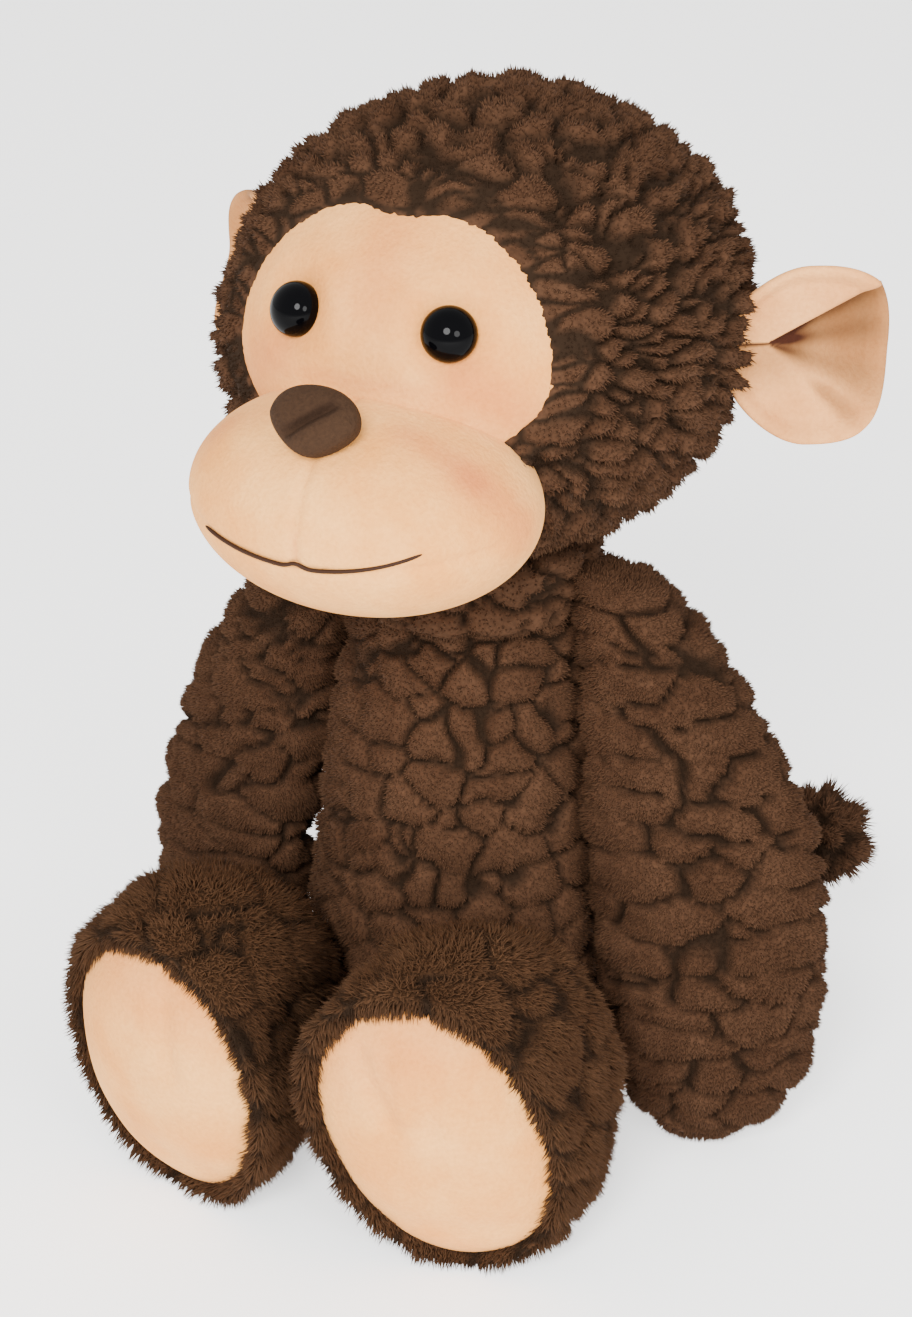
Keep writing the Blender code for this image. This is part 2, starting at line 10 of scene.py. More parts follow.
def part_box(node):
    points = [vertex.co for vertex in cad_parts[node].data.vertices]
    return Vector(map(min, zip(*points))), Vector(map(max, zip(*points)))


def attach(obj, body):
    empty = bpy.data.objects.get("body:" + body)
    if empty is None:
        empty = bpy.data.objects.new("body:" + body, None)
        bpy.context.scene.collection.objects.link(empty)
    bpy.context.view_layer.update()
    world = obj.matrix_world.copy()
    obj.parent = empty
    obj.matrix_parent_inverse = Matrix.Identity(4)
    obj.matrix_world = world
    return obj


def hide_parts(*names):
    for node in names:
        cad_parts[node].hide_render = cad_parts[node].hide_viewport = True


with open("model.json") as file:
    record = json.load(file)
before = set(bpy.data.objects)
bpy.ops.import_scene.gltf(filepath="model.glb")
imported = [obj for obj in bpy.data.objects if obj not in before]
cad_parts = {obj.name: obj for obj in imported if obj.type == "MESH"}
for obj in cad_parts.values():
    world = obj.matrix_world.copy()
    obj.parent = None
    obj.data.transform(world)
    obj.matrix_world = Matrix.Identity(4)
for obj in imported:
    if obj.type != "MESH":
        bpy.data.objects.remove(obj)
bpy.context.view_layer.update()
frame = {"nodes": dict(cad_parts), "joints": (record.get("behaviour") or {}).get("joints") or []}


# ----------------------------
# Body
# A pear of brown plush, a front and a back panel on a flat seat, that bulges low down and
# slopes at the neck. The plush is a knitted backing with a dense polyester pile, crushed
# in the dye bath, so that it breaks into plates with creases between them; the shade in
# the creases is painted into the pile's colour.
# ----------------------------

MM = 0.001
FLOOR_GAP = 0.3 * MM


def srgb(code):
    """A hex colour as linear RGBA."""
    parts = [int(code[i:i + 2], 16) / 255 for i in (1, 3, 5)]
    linear = [c / 12.92 if c <= 0.04045 else ((c + 0.055) / 1.055) ** 2.4 for c in parts]
    return (*linear, 1.0)


def add_node(tree, kind, links=None, **settings):
    """Adds a node; links maps an input's name or number to a value or to another socket."""
    node = tree.nodes.new(kind)
    for name, value in settings.items():
        setattr(node, name, value)
    for key, value in (links or {}).items():
        if isinstance(value, bpy.types.NodeSocket):
            tree.links.new(value, node.inputs[key])
        else:
            node.inputs[key].default_value = value
    return node


def new_material(name, roughness, gloss=0.5, sheen=0.0, sheen_tint="#ffffff"):
    """A dielectric material; returns it with its tree and shader node."""
    material = bpy.data.materials.new(name)
    material.use_nodes = True
    tree = material.node_tree
    shader = tree.nodes["Principled BSDF"]
    shader.inputs["Roughness"].default_value = roughness
    shader.inputs["Sheen Weight"].default_value = sheen
    shader.inputs["Sheen Roughness"].default_value = 0.45
    shader.inputs["Sheen Tint"].default_value = srgb(sheen_tint)
    shader.inputs["Specular IOR Level"].default_value = gloss
    return material, tree, shader


def even_colour(name, roughness, colour, gloss=0.5):
    """A material of one colour all over."""
    material, _, shader = new_material(name, roughness, gloss)
    shader.inputs["Base Color"].default_value = srgb(colour)
    return material


def noise(tree, place, grain, detail=2.0):
    """Cloudy noise from 0 to 1, with grains of about this size in metres."""
    return add_node(tree, "ShaderNodeTexNoise",
                    {"Vector": place, "Scale": 1 / grain, "Detail": detail}).outputs[0]


def stored_share(tree, name):
    """A share from 0 to 1 that the mesh carries, read in a material."""
    return add_node(tree, "ShaderNodeAttribute", attribute_name=name).outputs["Fac"]


def mix_colours(tree, factor, first, second, blend="MIX"):
    node = add_node(tree, "ShaderNodeMix", {0: factor, 6: first, 7: second},
                    data_type="RGBA", blend_type=blend)
    return node.outputs[2]


def brown_pile(name, root, middle, tip):
    """Polyester pile: darker at the root as painted shade down among the tufts, lighter at the
    tips, and blotched where the dye took unevenly over about 12 mm; the creases between the
    plates are darkened with painted shade."""
    material, tree, shader = new_material(name, 0.9, gloss=0.08, sheen=0.04, sheen_tint="#9a6c48")
    place = add_node(tree, "ShaderNodeTexCoord").outputs["Object"]
    # The dark root end of this ramp is painted shade down among the tufts.
    ramp = add_node(tree, "ShaderNodeValToRGB", {0: stored_share(tree, "pile_tip")})
    ramp.color_ramp.elements[0].color = srgb(root)
    ramp.color_ramp.elements[1].color = srgb(tip)
    ramp.color_ramp.elements.new(0.5).color = srgb(middle)
    blotched = mix_colours(tree, noise(tree, place, 0.012), srgb("#b8a799"), srgb("#fff6ee"))
    dyed = mix_colours(tree, 1.0, ramp.outputs[0], blotched, "MULTIPLY")
    strand = noise(tree, place, 0.0009)
    mottled = add_node(tree, "ShaderNodeMapRange", {0: strand, 1: 0.3, 2: 0.7, 3: 0.78, 4: 1.15})
    lit = add_node(tree, "ShaderNodeMapRange", {0: stored_share(tree, "pile_shade"), 3: 0.86, 4: 1.12})
    both = add_node(tree, "ShaderNodeMath", {0: lit.outputs[0], 1: mottled.outputs[0]},
                    operation="MULTIPLY").outputs[0]
    grey = add_node(tree, "ShaderNodeCombineColor", {0: both, 1: both, 2: both})
    colour = mix_colours(tree, 1.0, dyed, grey.outputs[0], "MULTIPLY")
    # Painted shade: the creases between the plates are mixed towards dark brown.
    clear_of_crease_shade = add_node(tree, "ShaderNodeMapRange", {0: stored_share(tree, "plate"), 1: 0.1, 2: 0.68}).outputs[0]
    colour = mix_colours(tree, clear_of_crease_shade, srgb("#20150c"), colour)
    tree.links.new(colour, shader.inputs["Base Color"])
    return material


brown_plush = brown_pile("crushed_polyester_plush_brown", "#2e2016", "#473325", "#5b4433")


def maths(tree, operation, first, second=0.0, third=0.0):
    return add_node(tree, "ShaderNodeMath", {0: first, 1: second, 2: third}, operation=operation).outputs[0]


def vectors(tree, operation, first, second=(0.0, 0.0, 0.0)):
    node = add_node(tree, "ShaderNodeVectorMath", {0: first, 1: second}, operation=operation)
    return node.outputs["Value" if operation in ("DOT_PRODUCT", "LENGTH") else "Vector"]


def scaled(tree, vector, factor):
    return add_node(tree, "ShaderNodeVectorMath", {0: vector, "Scale": factor}, operation="SCALE").outputs[0]


def random_share(tree, least, most, seed):
    node = add_node(tree, "FunctionNodeRandomValue", {2: least, 3: most, "Seed": seed}, data_type="FLOAT")
    return node.outputs[1]


PILE_INPUTS = (
    # name, socket type, and the value for the body's own plates, in metres
    ("Plate Size", "NodeSocketVector", (0.0150, 0.0150, 0.0105)),
    ("Plate Warp", "NodeSocketFloat", 0.012),
    ("Crease Depth", "NodeSocketFloat", 0.0042),
    ("Crease Width", "NodeSocketFloat", 0.10),
    ("Lump Size", "NodeSocketFloat", 0.005),
    ("Lump Height", "NodeSocketFloat", 0.0016),
    ("Tufts per Square Metre", "NodeSocketFloat", 2.0e6),
    ("Tuft Length", "NodeSocketFloat", 0.0016),
    ("Tuft Width", "NodeSocketFloat", 0.00055),
    ("Clump Size", "NodeSocketFloat", 0.0024),
    ("Clump Pull", "NodeSocketFloat", 0.4),
    ("Comb", "NodeSocketVector", (0.0, 0.0, -0.25)),
    ("Jitter", "NodeSocketFloat", 0.35),
    ("Seed", "NodeSocketInt", 0),
    ("Pile", "NodeSocketMaterial", None),
)


def attribute(tree, name, kind="FLOAT"):
    node = add_node(tree, "GeometryNodeInputNamedAttribute", {"Name": name}, data_type=kind)
    return node.outputs["Attribute"]


def store(tree, geometry, name, value, domain="POINT", kind="FLOAT"):
    node = add_node(tree, "GeometryNodeStoreNamedAttribute",
                    {"Geometry": geometry, "Name": name, "Value": value},
                    data_type=kind, domain=domain)
    return node.outputs[0]


def build_pile_tree():
    """Crinkles a dense surface into plates and plants a three-sided spike for each tuft,
    with its open root buried in the backing."""
    tree = bpy.data.node_groups.new("plush_pile", "GeometryNodeTree")
    tree.interface.new_socket("Geometry", in_out="INPUT", socket_type="NodeSocketGeometry")
    for name, kind, default in PILE_INPUTS:
        socket = tree.interface.new_socket(name, in_out="INPUT", socket_type=kind)
        if default is not None:
            socket.default_value = default
    tree.interface.new_socket("Geometry", in_out="OUTPUT", socket_type="NodeSocketGeometry")
    start = tree.nodes.new("NodeGroupInput").outputs
    place = add_node(tree, "GeometryNodeInputPosition").outputs[0]
    normal = add_node(tree, "GeometryNodeInputNormal").outputs[0]
    cover = attribute(tree, "cover")
    relief_share = attribute(tree, "relief")

    wobble = add_node(tree, "ShaderNodeTexNoise", {"Vector": place, "Scale": 1 / 0.015, "Detail": 1.0})
    centred = vectors(tree, "SUBTRACT", wobble.outputs["Color"], (0.5, 0.5, 0.5))
    warped = vectors(tree, "ADD", place, scaled(tree, centred, start["Plate Warp"]))
    cells = vectors(tree, "DIVIDE", warped, start["Plate Size"])
    edge = add_node(tree, "ShaderNodeTexVoronoi", {"Vector": cells, "Scale": 1.0},
                    feature="DISTANCE_TO_EDGE").outputs["Distance"]
    wall = add_node(tree, "ShaderNodeMapRange", {0: edge, 1: 0.0, 2: start["Crease Width"]},
                    interpolation_type="SMOOTHSTEP").outputs[0]
    dome = add_node(tree, "ShaderNodeMapRange", {0: edge, 1: 0.0, 2: 0.42},
                    interpolation_type="SMOOTHSTEP").outputs[0]
    plate = maths(tree, "ADD", maths(tree, "MULTIPLY", wall, 0.72), maths(tree, "MULTIPLY", dome, 0.28))
    lumps_each = maths(tree, "DIVIDE", 1.0, start["Lump Size"])
    bumps = add_node(tree, "ShaderNodeTexNoise",
                     {"Vector": place, "Scale": lumps_each, "Detail": 2.0})
    lump = maths(tree, "MULTIPLY", maths(tree, "SUBTRACT", bumps.outputs[0], 0.5), start["Lump Height"])
    sink = maths(tree, "MULTIPLY", maths(tree, "SUBTRACT", plate, 1.0), start["Crease Depth"])
    rise = maths(tree, "MULTIPLY", maths(tree, "ADD", sink, lump), relief_share)

    backing = store(tree, start["Geometry"], "plate", plate)
    backing = store(tree, backing, "out", normal, kind="FLOAT_VECTOR")
    backing = store(tree, backing, "pile_tip", 0.5)
    backing = store(tree, backing, "pile_shade", 0.5)
    relief = add_node(tree, "GeometryNodeSetPosition",
                      {"Geometry": backing, "Offset": scaled(tree, normal, rise)}).outputs[0]

    thick = maths(tree, "MULTIPLY", start["Tufts per Square Metre"], cover)
    spread = add_node(tree, "GeometryNodeDistributePointsOnFaces",
                      {"Mesh": relief, "Density": thick, "Seed": start["Seed"]}, distribute_method="RANDOM")
    outward = attribute(tree, "out", "FLOAT_VECTOR")
    at = add_node(tree, "GeometryNodeInputPosition").outputs[0]
    near = add_node(tree, "ShaderNodeTexVoronoi",
                    {"Vector": at, "Scale": maths(tree, "DIVIDE", 1.0, start["Clump Size"])}, feature="F1")
    pull = scaled(tree, vectors(tree, "SUBTRACT", near.outputs["Position"], at),
                  maths(tree, "DIVIDE", start["Clump Pull"], start["Clump Size"]))
    pull = vectors(tree, "SUBTRACT", pull, scaled(tree, outward, vectors(tree, "DOT_PRODUCT", pull, outward)))
    loose = add_node(tree, "FunctionNodeRandomValue",
                     {"Min": (-1.0, -1.0, -1.0), "Max": (1.0, 1.0, 1.0), "Seed": start["Seed"]},
                     data_type="FLOAT_VECTOR").outputs[0]
    lean = outward
    for push in (scaled(tree, spread.outputs["Normal"], 0.6), start["Comb"], pull,
                 scaled(tree, loose, start["Jitter"])):
        lean = vectors(tree, "ADD", lean, push)
    turned = add_node(tree, "FunctionNodeAlignRotationToVector", {"Vector": lean}, axis="Z").outputs[0]
    twist = random_share(tree, 0.0, 6.283, 7)
    spin = add_node(tree, "FunctionNodeAxisAngleToRotation",
                    {"Axis": (0.0, 0.0, 1.0), "Angle": twist}).outputs[0]
    turned = add_node(tree, "FunctionNodeRotateRotation", {0: turned, 1: spin},
                      rotation_space="LOCAL").outputs[0]

    tall = add_node(tree, "ShaderNodeMapRange", {0: attribute(tree, "plate"), 3: 0.4, 4: 1.0}).outputs[0]
    uneven = random_share(tree, 0.75, 1.2, 11)
    length = maths(tree, "MULTIPLY", start["Tuft Length"], maths(tree, "MULTIPLY", tall, uneven))
    size = add_node(tree, "ShaderNodeCombineXYZ",
                    {0: start["Tuft Width"], 1: start["Tuft Width"], 2: length}).outputs[0]
    spike = add_node(tree, "GeometryNodeMeshCone",
                     {"Vertices": 3, "Radius Top": 0.0, "Radius Bottom": 0.5, "Depth": 1.0},
                     fill_type="NONE").outputs["Mesh"]
    height = add_node(tree, "ShaderNodeSeparateXYZ", {0: at}).outputs[2]
    spike = store(tree, spike, "pile_tip", maths(tree, "MAXIMUM", height, 0.12))
    planted = add_node(tree, "GeometryNodeInstanceOnPoints",
                       {"Points": spread.outputs["Points"], "Instance": spike,
                        "Rotation": turned, "Scale": size}).outputs[0]
    planted = store(tree, planted, "pile_shade", random_share(tree, 0.0, 1.0, 5), domain="INSTANCE")
    realized = add_node(tree, "GeometryNodeRealizeInstances", {0: planted}).outputs[0]
    joined = tree.nodes.new("GeometryNodeJoinGeometry")
    tree.links.new(realized, joined.inputs[0])
    tree.links.new(relief, joined.inputs[0])
    smooth = add_node(tree, "GeometryNodeSetShadeSmooth", {0: joined.outputs[0]}).outputs[0]
    there = add_node(tree, "ShaderNodeSeparateXYZ", {0: at}).outputs
    above_floor = maths(tree, "MAXIMUM", there[2], FLOOR_GAP)
    pressed = add_node(tree, "ShaderNodeCombineXYZ", {0: there[0], 1: there[1], 2: above_floor}).outputs[0]
    flat = add_node(tree, "GeometryNodeSetPosition", {"Geometry": smooth, "Position": pressed}).outputs[0]
    dressed = add_node(tree, "GeometryNodeSetMaterial", {0: flat, "Material": start["Pile"]}).outputs[0]
    end = tree.nodes.new("NodeGroupOutput")
    tree.links.new(dressed, end.inputs[0])
    return tree


pile_tree = build_pile_tree()


def surface(name, points, wraps=True, cover=None, relief=None, keep=None):
    """A quad mesh over a grid of points in metres, as an object at the origin.

    wraps closes each row into a ring, cover says how much pile grows at each point, relief
    how much it crinkles, and keep is False for the points whose faces are left out."""
    rows, columns = points.shape[:2]
    mesh = bpy.data.meshes.new(name)
    used = columns if wraps else columns - 1
    i, j = np.meshgrid(np.arange(rows - 1), np.arange(used), indexing="ij")
    k = (j + 1) % columns
    quads = np.stack([i * columns + j, i * columns + k, (i + 1) * columns + k, (i + 1) * columns + j], -1)
    quads = quads.reshape(-1, 4)
    kept = slice(None) if keep is None else keep.reshape(-1)[quads].all(1)
    quads = quads[kept]
    mesh.from_pydata(points.reshape(-1, 3).tolist(), [], quads.tolist())
    across = np.stack([j, j + 1, j + 1, j], -1).reshape(-1, 4) / used
    along = np.stack([i, i, i + 1, i + 1], -1).reshape(-1, 4) / (rows - 1)
    spots = np.stack([across, along], -1)[kept]
    layout = mesh.uv_layers.new(name="OFBake")
    layout.data.foreach_set("uv", (0.01 + 0.98 * spots).astype(np.float32).ravel())
    for attribute_name, share in (("cover", cover), ("relief", relief)):
        values = np.ones(rows * columns) if share is None else share.reshape(-1)
        stored = mesh.attributes.new(attribute_name, "FLOAT", "POINT")
        stored.data.foreach_set("value", values.astype(np.float32))
    bm = bmesh.new()
    bm.from_mesh(mesh)
    bmesh.ops.remove_doubles(bm, verts=bm.verts, dist=1e-6)
    bmesh.ops.delete(bm, geom=[v for v in bm.verts if not v.link_faces], context="VERTS")
    bm.to_mesh(mesh)
    bm.free()
    mesh.shade_smooth()
    piece = bpy.data.objects.new(name, mesh)
    bpy.context.scene.collection.objects.link(piece)
    return piece


def face_out(piece, centre):
    """Turns every face away from a point inside the piece, when most of them face it."""
    mesh = piece.data
    middles = np.zeros(len(mesh.polygons) * 3)
    mesh.polygons.foreach_get("center", middles)
    normals = np.zeros(len(mesh.polygons) * 3)
    mesh.polygons.foreach_get("normal", normals)
    away = (middles.reshape(-1, 3) - np.array(centre)) * normals.reshape(-1, 3)
    if away.sum() < 0:
        mesh.flip_normals()
    return piece


def grow_pile(piece, tufts, **values):
    """Plants about so many tufts on a surface and keeps the result as a plain mesh."""
    mesh = piece.data
    areas = np.zeros(len(mesh.polygons))
    mesh.polygons.foreach_get("area", areas)
    values["Tufts_per_Square_Metre"] = float(tufts / areas.sum())
    modifier = piece.modifiers.new("pile", "NODES")
    modifier.node_group = pile_tree
    sockets = {s.name: s.identifier for s in pile_tree.interface.items_tree if s.in_out == "INPUT"}
    for name, value in values.items():
        modifier[sockets[name.replace("_", " ")]] = value
    bpy.context.view_layer.update()
    seen = piece.evaluated_get(bpy.context.evaluated_depsgraph_get())
    grown = bpy.data.meshes.new_from_object(seen)
    piece.modifiers.clear()
    piece.data = grown
    return piece


def stations(points, shares):
    """Smooth values between given stations, at shares from 0 to 1 of the way along."""
    table = np.array(points, float)
    knots = np.linspace(0, 1, len(table))
    slopes = np.gradient(table, knots, axis=0)
    found = np.clip(np.searchsorted(knots, shares) - 1, 0, len(table) - 2)
    step = knots[1] - knots[0]
    t = ((shares - knots[found]) / step)[:, None]
    a, b = table[found], table[found + 1]
    m, n = slopes[found] * step, slopes[found + 1] * step
    return ((2 * t ** 3 - 3 * t ** 2 + 1) * a + (t ** 3 - 2 * t ** 2 + t) * m
            + (3 * t ** 2 - 2 * t ** 3) * b + (t ** 3 - t ** 2) * n)


def full_turn(steps):
    """Angles once round, the last one step short of the first."""
    return np.linspace(0, 2 * math.pi, steps, endpoint=False)


def joint_place(name):
    """Where a joint of the frame lies, in metres."""
    return np.array(next(j["pos_m"] for j in frame["joints"] if j["name"] == name))


def box_of(*nodes):
    """The lowest and highest corner of several nodes together."""
    boxes = [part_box(n) for n in nodes]
    low = np.min([np.array(b[0]) for b in boxes], axis=0)
    high = np.max([np.array(b[1]) for b in boxes], axis=0)
    return low, high


GRID = 1.25 * MM  # between neighbouring points of the backing, before it is crinkled
PILE_ROOM = 1.5 * MM  # how far the backing lies inside the outline, for the pile to fill
LEAST_RADIUS = 0.3 * MM

body_low, body_high = box_of("torso_front_panel", "torso_back_panel")
body_half = (body_high - body_low) / 2
BODY_PROFILE = (
    # share of the height, share of the half width, share of the half depth
    (0.000, 0.05, 0.05),
    (0.004, 0.60, 0.58),
    (0.030, 0.88, 0.86),
    (0.120, 0.99, 0.97),
    (0.280, 0.98, 1.00),
    (0.440, 0.94, 0.99),
    (0.600, 0.88, 0.95),
    (0.740, 0.83, 0.86),
    (0.860, 0.77, 0.75),
    (0.960, 0.72, 0.66),
    (1.030, 0.50, 0.48),
    (1.050, 0.02, 0.02),
)
BODY_ROWS_PER_HEIGHT = 1.35
SEAT_REST = 1.0 * MM
SEAT_COVER = 0.15
SEAT_EDGE = 8 * MM


def body_surface(name, start, end):
    rows = int(body_high[2] / GRID * BODY_ROWS_PER_HEIGHT)
    columns = int(math.pi * body_half[0] / GRID)
    shares = np.linspace(0, 1, rows)
    profile = stations(BODY_PROFILE, shares)
    turn = np.linspace(start, end, columns)
    wide = (body_half[0] * profile[:, 1] - PILE_ROOM).clip(0.2 * MM)
    deep = (body_half[1] * profile[:, 2] - PILE_ROOM).clip(0.2 * MM)
    points = np.stack([
        wide[:, None] * np.cos(turn),
        deep[:, None] * np.sin(turn),
        np.repeat((body_high[2] * profile[:, 0]).clip(SEAT_REST)[:, None], columns, 1),
    ], -1)
    above_seat = np.clip((points[..., 2] - SEAT_REST) / SEAT_EDGE, 0.0, 1.0)
    piece = surface(name, points, wraps=False, cover=SEAT_COVER + (1 - SEAT_COVER) * above_seat)
    return face_out(piece, (0, 0, body_high[2] / 2))


for name, start, end, nodes in (
    ("body_front_fur", math.pi, 2 * math.pi,
     ("torso_front_panel", "torso_stuffing", "seat_pellet_pouch", "seat_panel")),
    ("body_back_fur", 0.0, math.pi, ("torso_back_panel", "back_closing_stitch")),
):
    fur = body_surface(name, start, end)
    grow_pile(fur, 35000, Pile=brown_plush, Seed=len(name))
    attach(fur, "torso")
    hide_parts(*nodes)


# ----------------------------
# Neck
# A short collar of the body's plush around the wad of fibre that the head turns on.
# ----------------------------

neck = joint_place("neck_turn")
NECK_RADIUS = 34 * MM
NECK_HEIGHT = 26 * MM
NECK_RAISE = 2 * MM
NECK_COLUMNS = 90

neck_turns = full_turn(NECK_COLUMNS)
neck_shares = np.linspace(-1, 1, 26)
neck_radii = NECK_RADIUS * np.sqrt(np.clip(1 - (neck_shares * 0.98) ** 6, 0.002, 1))
neck_points = np.stack([
    neck_radii[:, None] * np.cos(neck_turns),
    neck_radii[:, None] * np.sin(neck_turns),
    np.repeat((neck[2] + NECK_RAISE + neck_shares * NECK_HEIGHT / 2)[:, None], NECK_COLUMNS, 1),
], -1)
collar = face_out(surface("neck_collar_fur", neck_points), neck)
grow_pile(collar, 6000, Pile=brown_plush, Seed=31)
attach(collar, "neck")
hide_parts("neck_wad")


# ----------------------------
# Head
# A ball of the same plush in a left and a right panel, cut out at the front for the face.
# Its pile is crushed finer, into short wavy curls.
# ----------------------------

HEAD_BACK = 9 * MM
HEAD_HALF_HEIGHT = 60.5 * MM
head_low, head_high = box_of("head_left_panel", "head_right_panel")
head_radii = np.array([head_high[0], head_high[1] - HEAD_BACK, HEAD_HALF_HEIGHT])
head_centre = np.array([(head_low[0] + head_high[0]) / 2, HEAD_BACK, head_high[2] - HEAD_HALF_HEIGHT])
HEAD_SINK = 1.0 * MM
FACE_INSET = 5.5 * MM
FACE_LIP = 0.8 * MM
TUCK_UNDER = 3.0 * MM

FACE_MIDDLE = 220.5 * MM
FACE_HALF_WIDTH = 46 * MM
FACE_HALF_HEIGHT = 41.5 * MM
FACE_DROP = 25 * MM
BROW_DIP = 3.5 * MM
BROW_DIP_WIDTH = 13 * MM


def face_outline(turn):
    """Side and height of the two-lobed face opening's edge, at angles round its middle."""
    side = FACE_HALF_WIDTH * np.cos(turn)
    high = np.where(np.sin(turn) > 0, FACE_HALF_HEIGHT, FACE_DROP) * np.sin(turn)
    dip = np.where(high > 0, BROW_DIP * np.exp(-(side / BROW_DIP_WIDTH) ** 2), 0)
    return side, high - dip


def outside_face(x, z):
    """How far a front point lies outside the face opening, in metres; the edge is ragged."""
    tall = np.where(z > FACE_MIDDLE, FACE_HALF_HEIGHT, FACE_DROP)
    turn = np.arctan2((z - FACE_MIDDLE) / tall, x / FACE_HALF_WIDTH)
    side, high = face_outline(turn)
    ragged = 0.13 * MM * (np.sin(23 * turn) + np.sin(61 * turn + 1) + np.sin(104 * turn + 2))
    return np.hypot(x, z - FACE_MIDDLE) - np.hypot(side, high) + ragged


def soft_step(value, low, high):
    t = np.clip((value - low) / (high - low), 0, 1)
    return t * t * (3 - 2 * t)


def head_surface(name, side):
    rows = int(math.pi / 2 * head_radii[0] / GRID)
    columns = int(2 * math.pi * head_radii[0] / GRID)
    polar = np.linspace(0, math.pi / 2, rows)[:, None]
    turn = full_turn(columns)[None, :]
    aim = np.stack([
        side * np.cos(polar) * np.ones_like(turn),
        np.sin(polar) * np.cos(turn),
        np.sin(polar) * np.sin(turn),
    ], -1)
    points = head_centre + head_radii * aim
    away = outside_face(points[..., 0], points[..., 2])
    away = np.where(points[..., 1] < head_centre[1], away, 1.0)
    sunk = HEAD_SINK + (FACE_INSET - FACE_LIP - HEAD_SINK) * (1 - soft_step(away, 0.0005, 0.006))
    sunk = sunk + TUCK_UNDER * soft_step(-away, 0, 0.0015)
    points = head_centre + (head_radii - sunk[..., None]) * aim
    piece = surface(name, points, cover=soft_step(away, 0.0002, 0.0012),
                    relief=soft_step(away, 0.0, 0.012), keep=away > -TUCK_UNDER)
    return face_out(piece, head_centre)


HEAD_CURLS = {
    "Plate_Size": (0.0120, 0.0120, 0.0055),
    "Plate_Warp": 0.014,
    "Crease_Depth": 0.0050,
    "Crease_Width": 0.26,
    "Lump_Size": 0.008,
    "Lump_Height": 0.0085,
    "Tuft_Length": 0.0018,
    "Tuft_Width": 0.0006,
    "Clump_Size": 0.0026,
    "Jitter": 0.4,
    "Pile": brown_plush,
}

for name, side, nodes in (
    ("head_left_fur", 1, ("head_left_panel", "head_stuffing")),
    ("head_right_fur", -1, ("head_right_panel",)),
):
    fur = head_surface(name, side)
    grow_pile(fur, 30000, **HEAD_CURLS, Seed=40 + side)
    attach(fur, "head")
    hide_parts(*nodes)


# ----------------------------
# Face
# One panel of cream short-pile plush, set in about as deep as the creases of the plush
# around it, and pressed in further at each eye where the washer pulls the fabric back.
# ----------------------------


def cream_pile(name, light, warm, painted_shade):
    """Sheared 2 mm plush: a soft matt nap, warmer in cloudy patches about 20 mm across, and
    mixed towards a darker colour as painted shade where the mesh carries it in folds and seams."""
    material, tree, shader = new_material(name, 0.85, gloss=0.1, sheen=0.08, sheen_tint="#ffe2c0")
    place = add_node(tree, "ShaderNodeTexCoord").outputs["Object"]
    cloud = noise(tree, place, 0.020, detail=3.0)
    spread = add_node(tree, "ShaderNodeMapRange", {0: cloud, 1: 0.35, 2: 0.65}).outputs[0]
    colour = mix_colours(tree, spread, srgb(light), srgb(warm))
    # Painted shade: mixed towards the darker colour by the stored share.
    colour = mix_colours(tree, stored_share(tree, "painted_shade"), colour, srgb(painted_shade))
    nap = noise(tree, place, 0.0011)
    fleck = mix_colours(tree, nap, srgb("#e6dbd0"), srgb("#ffffff"))
    tree.links.new(mix_colours(tree, 1.0, colour, fleck, "MULTIPLY"), shader.inputs["Base Color"])
    brushed = noise(tree, place, 0.006, detail=3.0)
    depth = maths(tree, "ADD", nap, maths(tree, "MULTIPLY", brushed, 1.5))
    bump = add_node(tree, "ShaderNodeBump", {"Height": depth, "Strength": 0.5, "Distance": 0.0006})
    tree.links.new(bump.outputs[0], shader.inputs["Normal"])
    return material


def paint_shade(piece, amount):
    """Stores painted shade for folds and seams; amount gives it for points in metres."""
    mesh = piece.data
    places = np.zeros(len(mesh.vertices) * 3)
    mesh.vertices.foreach_get("co", places)
    values = np.clip(amount(places.reshape(-1, 3)), 0, 1).astype(np.float32)
    mesh.attributes.new("painted_shade", "FLOAT", "POINT").data.foreach_set("value", values)


def near_line(places, start, end, width):
    """1 on a straight fold between two points, falling to 0 over about its width."""
    start, end = np.array(start) * MM, np.array(end) * MM
    along = end - start
    share = np.clip(((places - start) @ along) / (along @ along), 0, 1)
    gap = np.linalg.norm(places - start - share[:, None] * along, axis=1)
    return np.exp(-(gap / (width * MM)) ** 2)


# The last colour is the painted shade in folds and seams.
cream_plush = cream_pile("sheared_plush_cream", "#e7a960", "#dd964a", "#bd6a3a")

EYE_SIDE = 20.5 * MM
EYE_HEIGHT = 232 * MM
EYE_RADIUS = 6.8 * MM
EYE_DIMPLE = 1.6 * MM
EYE_DIMPLE_REACH = 1.25
EYE_RIDGE = 0.6 * MM
FACE_OVERLAP = 1.03


def on_face(x, z, inset):
    """The front point of the head at this side and height, set in by so much."""
    radii = head_radii - inset
    left = 1 - (x / radii[0]) ** 2 - ((z - head_centre[2]) / radii[2]) ** 2
    return np.stack([x, head_centre[1] - radii[1] * np.sqrt(left.clip(0)), z], -1)


face_turns = full_turn(300)
face_shares = np.linspace(0, 1, 50)[:, None]
edge_side, edge_high = face_outline(face_turns)
face_x = face_shares * (edge_side * FACE_OVERLAP)
face_z = face_shares * (edge_high * FACE_OVERLAP) + FACE_MIDDLE
face_points = on_face(face_x, face_z, FACE_INSET)
for side in (1, -1):
    reach = np.hypot(face_x - side * EYE_SIDE, face_z - EYE_HEIGHT) / EYE_RADIUS
    face_points[..., 1] += EYE_DIMPLE * np.exp(-(reach / EYE_DIMPLE_REACH) ** 4)
    face_points[..., 1] -= EYE_RIDGE * np.exp(-((reach - 1.9) / 0.5) ** 2)
face = face_out(surface("face_plush", face_points), head_centre)
